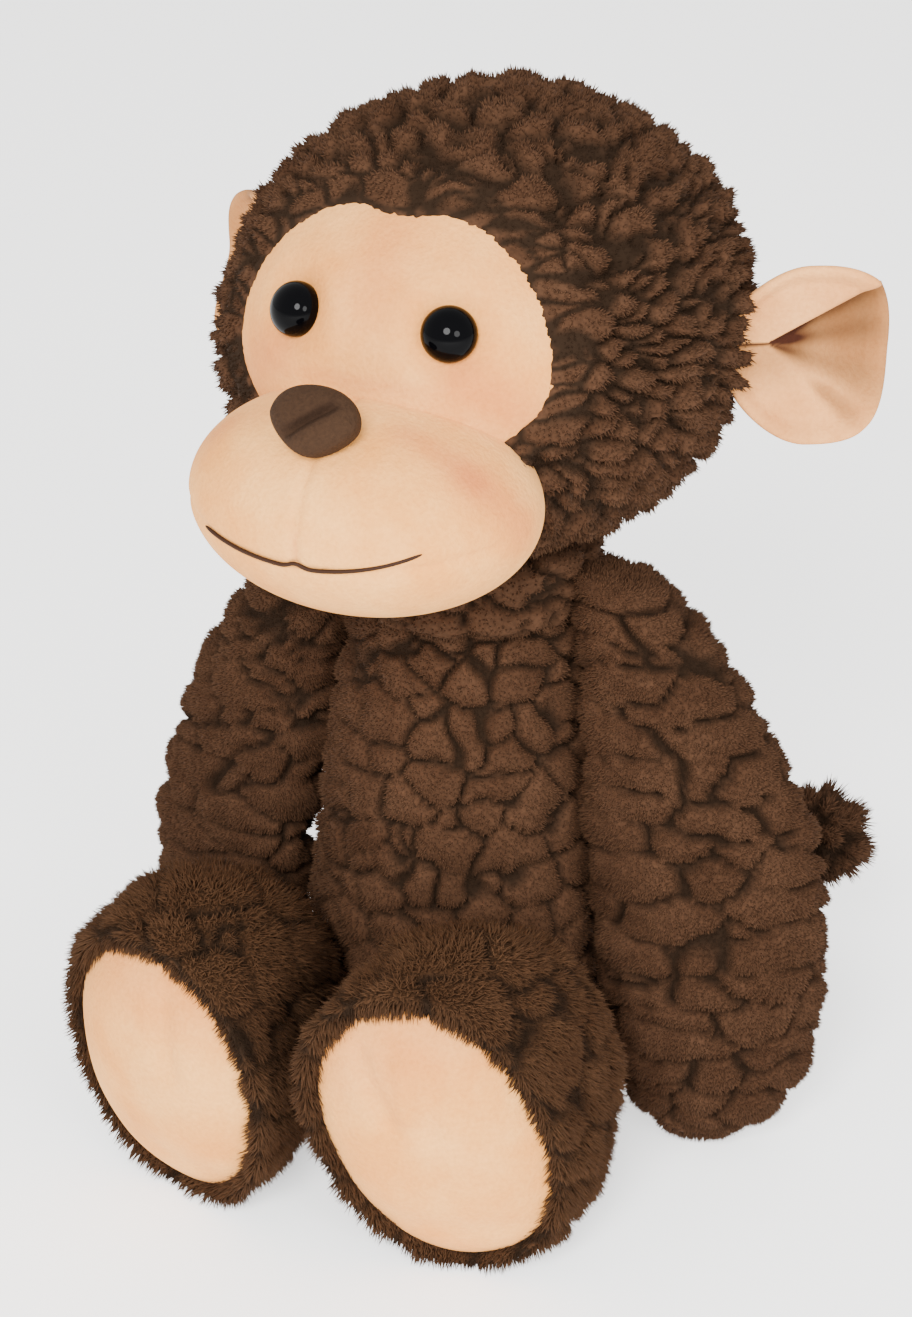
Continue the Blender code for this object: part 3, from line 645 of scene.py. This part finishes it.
# Painted shade in the folds beside the muzzle, along the muzzle's top edge and down between the eyes; the
# tenth everywhere only warms the face's own colour.
paint_shade(face, lambda places: (
    0.10
    + 0.45 * near_line(places, (24, -54, 222), (36, -45, 212), 7)
    + 0.45 * near_line(places, (-24, -54, 222), (-36, -45, 212), 7)
    + 0.30 * near_line(places, (-20, -62, 219), (20, -62, 219), 2.5)
    + 0.35 * near_line(places, (0, -60, 240), (0, -45, 257), 9)
))
face.data.materials.append(cream_plush)
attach(face, "head")
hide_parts("face_panel")


# ----------------------------
# Muzzle
# A wide stuffed snout in three cream panels: left and right, joined down the middle under
# the nose, and a chin panel below the mouth. The seams pull the nap into shallow grooves.
# ----------------------------

MUZZLE_HALF_DEPTH = 35 * MM
MUZZLE_HALF_HEIGHT = 27 * MM
muzzle_low, muzzle_high = box_of("muzzle_left_panel", "muzzle_right_panel", "chin_panel")
muzzle_radii = np.array([muzzle_high[0], MUZZLE_HALF_DEPTH, MUZZLE_HALF_HEIGHT])
muzzle_centre = np.array([0, muzzle_low[1] + muzzle_radii[1], muzzle_low[2] + muzzle_radii[2]])
CHIN_SEAM = 78  # degrees from straight down, at the front
SMILE_RISE = 12  # degrees more at the sides
SEAM_DEPTH = 0.9 * MM
CHIN_SEAM_DEPTH = 0.7 * MM
SEAM_WIDTH = 1.3 * MM


def muzzle_aim(polar, turn):
    """Directions from the muzzle's middle: polar from straight down, turn from the front."""
    return np.stack([
        np.sin(polar) * np.sin(turn),
        -np.sin(polar) * np.cos(turn),
        -np.cos(polar) * np.ones_like(turn),
    ], -1)


def chin_seam(turn):
    """Angle of the seam from straight down, which rises to both sides like a smile."""
    return np.radians(CHIN_SEAM + SMILE_RISE * np.sin(turn) ** 2)


def muzzle_point(polar, turn, lift=0.0):
    return muzzle_centre + (muzzle_radii + lift) * muzzle_aim(polar, turn)


muzzle_turns = np.linspace(-math.pi, math.pi, 260, endpoint=False)[None, :]
muzzle_polars = np.linspace(0, math.pi, 140)[:, None]
muzzle_points = muzzle_point(muzzle_polars, muzzle_turns)
aims = muzzle_aim(muzzle_polars, muzzle_turns)
above_mouth = soft_step(muzzle_polars, math.radians(76), math.radians(80))
groove = SEAM_DEPTH * np.exp(-(muzzle_points[..., 0] / SEAM_WIDTH) ** 2) * above_mouth
from_seam = (muzzle_polars - chin_seam(muzzle_turns)) * muzzle_radii[2]
facing = soft_step(np.cos(muzzle_turns), 0.2, 0.5)
groove = groove + CHIN_SEAM_DEPTH * np.exp(-(from_seam / SEAM_WIDTH) ** 2) * facing
groove[aims[..., 1] > 0] = 0
muzzle_points -= aims * groove[..., None]
muzzle = face_out(surface("muzzle_plush", muzzle_points), muzzle_centre)
# Painted shade in the fold that runs from the top of the muzzle down each side, heavier on the left, and in
# the seam groove under the nose.
paint_shade(muzzle, lambda places: (
    0.40 * near_line(places, (18, -70, 212), (36, -70, 205), 5)
    + 0.45 * near_line(places, (36, -70, 205), (44, -63, 191), 7)
    + 0.25 * near_line(places, (-18, -70, 212), (-36, -70, 205), 5)
    + 0.25 * near_line(places, (-36, -70, 205), (-44, -63, 191), 7)
    + 0.75 * near_line(places, (0, -93, 200), (0, -92.5, 183), 0.8)
))
muzzle.data.materials.append(cream_plush)
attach(muzzle, "head")
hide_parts("muzzle_left_panel", "muzzle_right_panel", "chin_panel", "muzzle_stuffing")


# ----------------------------
# Nose
# A small padded triangle of brown short-pile plush, point down, stitched over the seam.
# ----------------------------

NOSE_FACING = math.radians(35)
NOSE_HALF_WIDTH = 11.3 * MM
NOSE_HALF_HEIGHT = 8.9 * MM
NOSE_MIDDLE = np.array([0, -82.3, 217.0]) * MM
NOSE_CROWN = 4.5 * MM
NOSE_ROOT = 8 * MM
nose_forward = np.array([0, -math.cos(NOSE_FACING), math.sin(NOSE_FACING)])
nose_upward = np.array([0, math.sin(NOSE_FACING), math.cos(NOSE_FACING)])


def nose_outline(turn):
    pinch = 1 - 0.34 * np.clip(-np.sin(turn), 0, None) ** 1.4
    flat = 1 - 0.10 * np.clip(np.sin(turn), 0, None) ** 2
    return NOSE_HALF_WIDTH * np.cos(turn) * pinch, NOSE_HALF_HEIGHT * np.sin(turn) * flat


NOSE_PLEAT_DEPTH = 2.0 * MM
NOSE_PLEAT_TURN = math.radians(38)
NOSE_PLEAT_DROP = 1.6 * MM
NOSE_PLEAT_WIDTH = 1.2 * MM
NOSE_PLEAT_LINE = [
    (NOSE_MIDDLE + np.array([across, 0, 0]) * MM + nose_upward * up * MM + nose_forward * 3.6 * MM) / MM
    for across, up in ((-4.5, -5.0), (5.5, 2.8))
]
nose_turns = full_turn(160)[None, :]
nose_polars = np.linspace(0, math.radians(150), 80)[:, None]
nose_across, nose_up = nose_outline(nose_turns)
nose_shares = np.sin(nose_polars) ** 0.8
nose_shares = np.where(nose_polars > math.pi / 2, 0.35 + 0.65 * nose_shares, nose_shares)
nose_across, nose_up = nose_across * nose_shares, nose_up * nose_shares
nose_depth = np.where(nose_polars > math.pi / 2, NOSE_ROOT, NOSE_CROWN) * np.cos(nose_polars)
tilt_up, tilt_over = math.cos(NOSE_PLEAT_TURN), math.sin(NOSE_PLEAT_TURN)
pleat_reach = (nose_up + NOSE_PLEAT_DROP) * tilt_up - nose_across * tilt_over
pleat_along = nose_across * tilt_up + nose_up * tilt_over
nose_pleat = NOSE_PLEAT_DEPTH * np.exp(-(pleat_reach / NOSE_PLEAT_WIDTH) ** 2)
nose_pleat = nose_pleat * (1 - soft_step(abs(pleat_along), 0.004, 0.010))
nose_depth = nose_depth - nose_pleat * soft_step(math.pi / 2 - nose_polars, 0, 0.4)
nose_points = (NOSE_MIDDLE + nose_across[..., None] * np.array([1, 0, 0]) + nose_up[..., None] * nose_upward
               + nose_depth[..., None] * nose_forward)


def sheared_brown():
    """Very short brown nap: matt, with a faint lighter bloom."""
    material, tree, shader = new_material(
        "sheared_plush_brown", 0.9, gloss=0.1, sheen=0.04, sheen_tint="#9a6c48")
    nap = noise(tree, add_node(tree, "ShaderNodeTexCoord").outputs["Object"], 0.0009)
    colour = mix_colours(tree, nap, srgb("#24170e"), srgb("#362518"))
    # Painted shade: the pleat is mixed towards near black.
    colour = mix_colours(tree, stored_share(tree, "painted_shade"), colour, srgb("#1a0e07"))
    tree.links.new(colour, shader.inputs["Base Color"])
    bump = add_node(tree, "ShaderNodeBump", {"Height": nap, "Strength": 0.7, "Distance": 0.0006})
    tree.links.new(bump.outputs[0], shader.inputs["Normal"])
    return material


nose = face_out(surface("nose_plush", nose_points), NOSE_MIDDLE)
# Painted shade in the nose's diagonal pleat.
paint_shade(nose, lambda places: 0.9 * near_line(places, NOSE_PLEAT_LINE[0], NOSE_PLEAT_LINE[1], 1.6))
nose.data.materials.append(sheared_brown())
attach(nose, "head")
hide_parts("nose")


# ----------------------------
# Mouth
# One line of dark brown embroidery thread laid along the chin seam.
# ----------------------------

MOUTH_HALF_TURN = math.radians(41)
MOUTH_LIFT = math.radians(8)
THREAD_RADIUS = 0.5 * MM
MOUTH_STEPS = 120

mouth_turns = np.linspace(-MOUTH_HALF_TURN, MOUTH_HALF_TURN, MOUTH_STEPS)
mouth_polars = chin_seam(mouth_turns) + MOUTH_LIFT * (mouth_turns.clip(0) / MOUTH_HALF_TURN) ** 2
mouth_polars += math.radians(2.5) * np.exp(-(mouth_turns / math.radians(3)) ** 2)
mouth_line = muzzle_point(mouth_polars, mouth_turns, lift=-0.1 * MM)
mouth_ring = full_turn(8)
mouth_away = muzzle_aim(mouth_polars, mouth_turns)
mouth_along = np.gradient(mouth_line, axis=0)
mouth_along /= np.linalg.norm(mouth_along, axis=1, keepdims=True)
mouth_side = np.cross(mouth_along, mouth_away)
mouth_thick = THREAD_RADIUS * np.sqrt(np.clip(1 - np.linspace(-1, 1, MOUTH_STEPS) ** 20, 0.01, 1))
mouth_points = (mouth_line[:, None] + mouth_thick[:, None, None] * (
    mouth_away[:, None] * np.sin(mouth_ring)[None, :, None]
    + mouth_side[:, None] * np.cos(mouth_ring)[None, :, None]))
mouth = surface("mouth_embroidery", mouth_points)
mouth.data.materials.append(even_colour("rayon_thread_brown", 0.6, "#2c1a10", gloss=0.1))
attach(mouth, "head")
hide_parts("mouth_stitch")


# ----------------------------
# Eyes
# Black moulded safety eyes: glossy domes with a fine rim, on shanks through the panel.
# ----------------------------

SIDES = (("left", 1), ("right", -1))
EYE_DOME = 5.8 * MM
eye_plastic = even_colour("moulded_gloss_plastic_black", 0.05, "#030304", gloss=0.05)

for name, side in SIDES:
    seat = on_face(np.array(side * EYE_SIDE), np.array(EYE_HEIGHT), FACE_INSET)
    away = (seat - head_centre) / head_radii ** 2
    away /= np.linalg.norm(away)
    across = np.cross(away, [0, 0, 1])
    across /= np.linalg.norm(across)
    upward = np.cross(across, away)
    rise = np.radians(np.linspace(90, -12, 28))[:, None]
    turn = full_turn(48)[None, :]
    ring = EYE_RADIUS * np.cos(rise)
    depth = EYE_DOME * np.sin(rise) * np.ones_like(turn)
    points = (seat + across * (ring * np.cos(turn))[..., None] + upward * (ring * np.sin(turn))[..., None]
              + away * depth[..., None])
    eye = face_out(surface(f"eye_{name}_dome", points), seat - away * 0.002)
    eye.data.materials.append(eye_plastic)
    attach(eye, "head")
    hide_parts(f"eye_{name}")


# ----------------------------
# Ears
# Cupped discs of peach short-pile plush, pinched where they are sewn into the head, so
# that the top rolls forward like a roof and the lower lobe stands out.
# ----------------------------

# The last colour is the painted shade in the ear's folds.
ear_plush = cream_pile("sheared_plush_peach", "#dea063", "#cb8c52", "#32160a")
EAR_THICK = 3.0 * MM
EAR_REACH = {"left": 42 * MM, "right": 54 * MM}
EAR_ROOT_DEPTH = 12 * MM
EAR_PLEAT_DEPTH = 2.2 * MM
EAR_RIM_CURL = 2.0 * MM
EAR_ROLL = {"left": 0.42, "right": 0.10}
EAR_TOP = {"left": 20 * MM, "right": 13 * MM}
EAR_BOTTOM = 24 * MM
EAR_SWEEP = {"left": math.radians(35), "right": math.radians(25)}


def squared(value, power):
    """A sine or cosine whose curve swells to a squarer oval where the power is below 1."""
    return np.sign(value) * np.abs(value) ** power


def ear_relief(along, high, roll):
    """Push towards the front, and how much painted shade lies in the fold, over the ear seen
    from the front; roll is how far the top comes forward."""
    along = along - EAR_ROOT_DEPTH + 2 * MM
    swing = np.degrees(np.arctan2(high, along.clip(0.0005)))
    far = np.hypot(along.clip(0), high)
    roof = soft_step(swing, 21, 33)
    lobe = soft_step(-swing, 6, 46)
    pleat = np.exp(-((swing + 40) / 5) ** 2)
    pleat = pleat * soft_step(far, 0.012, 0.020) * (1 - soft_step(far, 0.026, 0.034))
    push = far * (roll * roof + 0.40 * lobe - 0.24) - EAR_PLEAT_DEPTH * pleat
    # deep is the painted shade: strongest under the roof and in the pleat, most near the root, and fading
    # towards the rim.
    deep = (1 - roof) * (0.75 * soft_step(swing, -46, -14) + 0.25 * soft_step(swing, -6, 14)) + 0.6 * pleat
    deep = deep * (0.87 + 0.13 * np.cos(np.radians(swing * 14)))
    deep = deep * (1 - 0.55 * soft_step(far, 0.026, 0.037))
    deep = deep + 0.4 * (1 - roof) * (1 - soft_step(far, 0.004, 0.016))
    return push, deep


for name, side in SIDES:
    sweep = EAR_SWEEP[name]
    outward = np.array([side * math.cos(sweep), math.sin(sweep), 0])
    root = joint_place(f"ear_{name}_flex") - outward * EAR_ROOT_DEPTH
    forward = np.array([side * math.sin(sweep), -math.cos(sweep), 0])
    turn = full_turn(160)[None, :]
    share = np.linspace(0, 1, 46)[:, None]
    along = EAR_REACH[name] / 2 * (1 + share * squared(np.cos(turn), 0.75))
    high = np.where(np.sin(turn) > 0, EAR_TOP[name], EAR_BOTTOM) * share * squared(np.sin(turn), 0.85)
    high = high * (0.80 + 0.20 * soft_step(along, 0, 0.02))
    push, _ = ear_relief(along, high, EAR_ROLL[name])
    push = push + EAR_RIM_CURL * soft_step(share, 0.80, 1.0)
    sheet = root + outward * along[..., None] + forward * push[..., None]
    sheet[..., 2] += high
    rolled = [row + forward * EAR_THICK / 2 for row in sheet]
    rim_out = sheet[-1] - sheet[-2]
    rim_out /= np.linalg.norm(rim_out, axis=-1, keepdims=True)
    for bend in np.linspace(0, math.pi, 7)[1:-1]:
        rolled.append(sheet[-1] + (forward * math.cos(bend) + rim_out * math.sin(bend)) * EAR_THICK / 2)
    rolled += [row - forward * EAR_THICK / 2 for row in sheet[::-1]]
    ear = face_out(surface(f"ear_{name}_plush", np.array(rolled)), sheet.reshape(-1, 3).mean(0))

    def ear_fold_shade(places):
        local = places - root
        front_push, depth = ear_relief(local @ outward, local[:, 2], EAR_ROLL[name])
        # Painted shade, on the front face only.
        return 0.95 * depth * (local @ forward > front_push)

    paint_shade(ear, ear_fold_shade)
    ear.data.materials.append(ear_plush)
    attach(ear, f"ear_{name}")
    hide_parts(f"ear_{name}_front_panel", f"ear_{name}_back_panel")


# ----------------------------
# Arms
# Long flattened sacks of brown plush that hang from the shoulders to the ground, crushed
# into wide rows that run round the arm.
# ----------------------------

ARM_PATH = (
    # side, back, height from the shoulder; half width, half depth, in millimetres
    (-17, 2, 9, 2, 2),
    (-13, 2, 8, 10, 10),
    (-3.5, 2, 0, 16, 15),
    (8.5, 1, -25, 24, 17),
    (19, -1, -56, 31, 18),
    (24.5, -3, -82, 32, 18),
    (26, -5, -106, 31, 18),
    (27, -6, -128, 25.5, 16.5),
    (27, -6, -142, 15, 11.5),
    (27, -6, -147, 2, 2),
)
ARM_TURN = math.radians(27)
ARM_LENGTH = 0.170
ARM_RADIUS = 24 * MM
FLOOR_REST = 0.0012
FLOOR_COVER = 0.15

ARM_ROWS = {
    "Plate_Size": (0.028, 0.028, 0.0095),
    "Plate_Warp": 0.010,
    "Crease_Depth": 0.0048,
    "Lump_Size": 0.006,
    "Lump_Height": 0.0034,
    "Tuft_Length": 0.0017,
    "Comb": (0.0, 0.0, -0.3),
    "Pile": brown_plush,
}


def oval_tube(centre, across, upward, table, turn, squareness=1.0):
    """Oval rings about the points of a path, sized by the last two columns of its table."""
    wide = (table[:, 3] * MM - PILE_ROOM).clip(LEAST_RADIUS)[:, None] * squared(np.cos(turn), squareness)
    high = (table[:, 4] * MM - PILE_ROOM).clip(LEAST_RADIUS)[:, None] * squared(np.sin(turn), squareness)
    return centre[:, None] + across * wide[..., None] + upward * high[..., None]


def rest_on_floor(points):
    """Flattens the points that reach the floor; returns how much pile grows at each point,
    which is little where the plush is sat on."""
    cover = np.where(points[..., 2] < 0.0015, FLOOR_COVER, 1.0)
    points[..., 2] = points[..., 2].clip(FLOOR_REST)
    return cover


def arm_surface(name, shoulder, side, start, end):
    """Half of an arm, between two angles round its path."""
    table = stations(ARM_PATH, np.linspace(0, 1, int(ARM_LENGTH / GRID)))
    turn = np.linspace(start, end, int(abs(end - start) * ARM_RADIUS / GRID))
    across = np.array([side * math.cos(ARM_TURN), math.sin(ARM_TURN), 0])
    backward = np.array([-side * math.sin(ARM_TURN), math.cos(ARM_TURN), 0])
    centre = shoulder + table[:, :3] * np.array([side, 1, 1]) * MM
    points = oval_tube(centre, across, backward, table, turn)
    cover = rest_on_floor(points)
    return face_out(surface(name, points, wraps=False, cover=cover), centre.mean(0))


for name, side in SIDES:
    shoulder = joint_place(f"shoulder_{name}")
    for part, start, end in (("front", math.pi, 2 * math.pi), ("back", 0, math.pi)):
        fur = arm_surface(f"arm_{name}_{part}_fur", shoulder, side, start, end)
        grow_pile(fur, 28000, **ARM_ROWS, Seed=50 + side)
        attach(fur, f"arm_{name}")
        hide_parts(f"arm_{name}_{part}_panel")
        if part == "front":
            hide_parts(f"arm_{name}_stuffing")


# ----------------------------
# Legs
# Short thick legs whose pile is left long and brushed out, so it lies in soft waves and
# hangs ragged over the edge of the sole.
# ----------------------------

LEG_PATH = (
    # side, back, height from the hip; half width, half height, in millimetres
    (0, 17, 3, 2, 2),
    (1, 15, 3, 16, 19),
    (2, 9, 5, 27, 32),
    (3, 0, 8, 31, 38),
    (2, -15, 9, 34.5, 43.5),
    (1.5, -28, 8, 35.5, 44),
    (1.2, -38, 7.2, 35, 43),
    (1, -42, 6.8, 33.5, 41.5),
    (1, -40, 6.5, 30.5, 38.5),
    (1, -36, 6.5, 28, 35),
)
FOOT_ROLL = {"left": math.radians(18), "right": math.radians(-6)}
FOOT_YAW = {"left": math.radians(12), "right": math.radians(-12)}
FOOT_STRETCH = {"left": 1.06, "right": 1.0}
FOOT_NARROW = {"left": 0.93, "right": 1.0}
FOOT_RAISE = {"left": 2 * MM, "right": 0}
FOOT_SQUARENESS = 0.92
SOLE_LEAN = math.radians(10)
LEG_ROWS = 90
LEG_COLUMNS = 150

long_plush = brown_pile("brushed_polyester_plush_brown", "#20160c", "#453121", "#5c4431")
FOOT_WAVES = {
    "Plate_Size": (0.020, 0.020, 0.013),
    "Crease_Depth": 0.0022,
    "Lump_Size": 0.009,
    "Lump_Height": 0.0045,
    "Tuft_Length": 0.0040,
    "Tuft_Width": 0.0006,
    "Clump_Size": 0.0040,
    "Jitter": 0.5,
    "Pile": long_plush,
}


def foot_axes(name):
    """The foot's sideways, upward and forward directions at its sole."""
    turned = Matrix.Rotation(FOOT_YAW[name], 3, "Z") @ Matrix.Rotation(-FOOT_ROLL[name], 3, "Y")
    across = np.array(turned @ Vector((1, 0, 0)))
    upward = np.array(turned @ Vector((0, -math.sin(SOLE_LEAN), math.cos(SOLE_LEAN))))
    forward = np.cross(across, upward)
    return across, upward, forward * np.sign(-forward[1])


def leg_surface(name, side):
    """A leg whose rings turn from upright at the hip to the slant of the foot's sole."""
    shares = np.linspace(0, 1, LEG_ROWS)
    table = stations(LEG_PATH, shares) * np.array([side, 1, 1, FOOT_NARROW[name], FOOT_STRETCH[name]])
    turn = full_turn(LEG_COLUMNS)
    across, upward, _ = foot_axes(name)
    share = soft_step(shares, 0.1, 0.65)[:, None]
    ups = np.array([0, 0, 1.0]) * (1 - share) + upward * share
    sides = np.array([1.0, 0, 0]) * (1 - share) + across * share
    centre = joint_place(f"hip_{name}") + table[:, :3] * MM
    centre[:, 2] += FOOT_RAISE[name] * share[:, 0]
    points = oval_tube(centre, sides[:, None], ups[:, None], table, turn, FOOT_SQUARENESS)
    cover = rest_on_floor(points)
    near_sole = soft_step(np.arange(LEG_ROWS), 0.62 * LEG_ROWS, 0.76 * LEG_ROWS)[:, None]
    relief = np.repeat(1 - near_sole, LEG_COLUMNS, 1)
    return face_out(surface(f"leg_{name}_fur", points, cover=cover, relief=relief), centre.mean(0))


for name, side in SIDES:
    fur = leg_surface(name, side)
    grow_pile(fur, 38000, **FOOT_WAVES, Comb=(0.1 * side, -0.25, -0.9), Seed=60 + side)
    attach(fur, f"leg_{name}")
    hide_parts(f"leg_{name}_top_panel", f"leg_{name}_bottom_panel", f"leg_{name}_stuffing")


# ----------------------------
# Soles
# Oval cream pads sewn into the ends of the feet and pushed out by the filling.
# ----------------------------

SOLE_HALF_WIDTH = 32 * MM
SOLE_HALF_HEIGHT = 40 * MM
SOLE_CROWN = 13 * MM
SOLE_SINK = 1 * MM
SOLE_TUCK = 2 * MM
SOLE_MIDDLE = (1, -38.5, 6.5)
SOLE_FLOOR_GAP = 3 * MM
SOLE_CREASES = (
    # foot, start and end across and up the sole, depth, width, in millimetres
    ("left", (-8, 30), (-6, 12), 1.8, 3.0),
    ("left", (2, 26), (0, 14), -1.2, 2.6),
    ("left", (10, 24), (3, 8), 1.4, 3.0),
    ("left", (-18, -20), (8, -27), 0.8, 5.0),
    ("right", (6, 28), (10, 10), 1.4, 3.5),
    ("right", (-12, -18), (14, -24), 0.8, 5.0),
)


def crease_depth(wide, high, start, end, depth, width):
    """A soft crease along a line across the sole; a negative depth raises a ridge."""
    start, end = np.array(start) * MM, np.array(end) * MM
    along = end - start
    share = np.clip(((wide - start[0]) * along[0] + (high - start[1]) * along[1]) / (along @ along), 0, 1)
    gap = np.hypot(wide - start[0] - share * along[0], high - start[1] - share * along[1])
    return depth * MM * np.exp(-(gap / (width * MM)) ** 2)


for name, side in SIDES:
    across, upward, forward = foot_axes(name)
    middle = joint_place(f"hip_{name}") + np.array(SOLE_MIDDLE) * np.array([side, 1, 1]) * MM
    middle[2] += FOOT_RAISE[name]
    turn = full_turn(220)[None, :]
    share = np.linspace(0, 1, 60)[:, None]
    reach = share - 0.06 * soft_step(share, 0.90, 1.0)
    wide = SOLE_HALF_WIDTH * FOOT_NARROW[name] * reach * squared(np.cos(turn), FOOT_SQUARENESS)
    high = SOLE_HALF_HEIGHT * FOOT_STRETCH[name] * reach * squared(np.sin(turn), FOOT_SQUARENESS)
    crown = SOLE_CROWN * (1 - share ** 3) * np.ones_like(turn) - SOLE_SINK
    crown = crown - SOLE_TUCK * soft_step(share, 0.92, 1.0)
    for foot, start, end, depth, width in SOLE_CREASES:
        if foot == name:
            crown = crown - crease_depth(wide, high, start, end, depth, width)
    points = middle + across * wide[..., None] + upward * high[..., None] + forward * crown[..., None]
    points[..., 2] = points[..., 2].clip(SOLE_FLOOR_GAP)
    sole = face_out(surface(f"sole_{name}_plush", points), middle - forward * 0.03)
    # Painted shade towards the top of the sole, under the fur that hangs over its edge.
    paint_shade(sole, lambda places: 0.35 * soft_step((places - middle) @ upward, 0.010, 0.034))
    sole.data.materials.append(cream_plush)
    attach(sole, f"leg_{name}")
    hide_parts(f"sole_{name}")


# ----------------------------
# Tail
# A stubby tube of the body's plush, sewn low on the back and bent to its left.
# ----------------------------

TAIL_PATH = (
    # side, back, height from the tail's root joint; half width, half height, in millimetres
    (-1, -7, 0, 2, 2),
    (-1, -5, 0, 9, 9),
    (0, 5, 1, 12, 12),
    (12, 15, 3, 13, 13),
    (26, 22, 8, 14, 14),
    (45, 25.5, 15.5, 14.5, 15),
    (62, 26, 23, 14, 15.5),
    (70, 26, 27, 9, 11),
    (72.5, 26, 28.5, 2, 2),
)
tail_root = joint_place("tail_root")
tail_table = stations(TAIL_PATH, np.linspace(0, 1, 70))
tail_centre = tail_root + tail_table[:, :3] * MM
tail_along = np.gradient(tail_centre, axis=0)
tail_along /= np.linalg.norm(tail_along, axis=1, keepdims=True)
tail_across = np.cross(tail_along, [0, 0, 1.0])
tail_across /= np.linalg.norm(tail_across, axis=1, keepdims=True)
tail_up = np.cross(tail_across, tail_along)
tail_turn = full_turn(54)
tail_points = oval_tube(tail_centre, tail_across[:, None], tail_up[:, None], tail_table, tail_turn)
tail = face_out(surface("tail_fur", tail_points), tail_centre.mean(0))
TAIL_CURLS = {**HEAD_CURLS, "Tuft_Length": 0.0042, "Comb": (0.35, 0.1, 0.15)}
grow_pile(tail, 14000, **TAIL_CURLS, Seed=71)
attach(tail, "tail")
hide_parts("tail_top_panel", "tail_bottom_panel", "tail_stuffing")


# ----------------------------
# Washers
# The locking washers stay as they are, white moulded plastic behind the face.
# ----------------------------

washer_plastic = even_colour("moulded_polypropylene_white", 0.4, "#e8e8e4")
for node in ("eye_left_washer", "eye_right_washer"):
    mesh = frame["nodes"][node].data
    mesh.materials.clear()
    mesh.materials.append(washer_plastic)


# ----------------------------
# Stage
# A pale floor, soft light from two large lamps in front and a white surround, and the
# camera in front and to the monkey's left, looking a little down on it.
# ----------------------------

floor_mesh = bpy.data.meshes.new("floor")
floor_mesh.from_pydata([(-6, -6, 0), (6, -6, 0), (6, 6, 0), (-6, 6, 0)], [], [(0, 1, 2, 3)])
floor = bpy.data.objects.new("floor", floor_mesh)
bpy.context.scene.collection.objects.link(floor)
floor_material, _, floor_shader = new_material("matt_paint_white", 0.9)
floor_shader.inputs["Base Color"].default_value = srgb("#fbfaf8")
floor_shader.inputs["Emission Color"].default_value = srgb("#ffffff")
floor_shader.inputs["Emission Strength"].default_value = 1.0
floor.data.materials.append(floor_material)

world = bpy.data.worlds.new("studio")
world.use_nodes = True
world.node_tree.nodes["Background"].inputs["Color"].default_value = srgb("#ffffff")
world.node_tree.nodes["Background"].inputs["Strength"].default_value = 1.5
bpy.context.scene.world = world


def area_light(name, place, size, power):
    light = bpy.data.lights.new(name, "AREA")
    light.shape = "DISK"
    light.size = size
    light.energy = power
    lamp = bpy.data.objects.new(name, light)
    lamp.location = place
    lamp.rotation_euler = (Vector((0, 0, 0.12)) - Vector(place)).to_track_quat("-Z", "Y").to_euler()
    bpy.context.scene.collection.objects.link(lamp)


area_light("key", (0.4, -1.5, 1.1), 0.7, 60)
area_light("fill", (1.3, -1.0, 0.8), 0.6, 20)

TARGET = Vector((0, -0.010, 0.127))
DISTANCE = 0.850
AZIMUTH = math.radians(27)
ELEVATION = math.radians(24.5)
camera = bpy.data.objects.new("camera", bpy.data.cameras.new("camera"))
back = Vector((
    math.sin(AZIMUTH) * math.cos(ELEVATION),
    -math.cos(AZIMUTH) * math.cos(ELEVATION),
    math.sin(ELEVATION),
))
camera.location = TARGET + back * DISTANCE
camera.rotation_euler = back.to_track_quat("Z", "Y").to_euler()
camera.data.lens = 89.5
camera.data.sensor_width = 36
camera.data.clip_end = 20
bpy.context.scene.collection.objects.link(camera)
bpy.context.scene.camera = camera
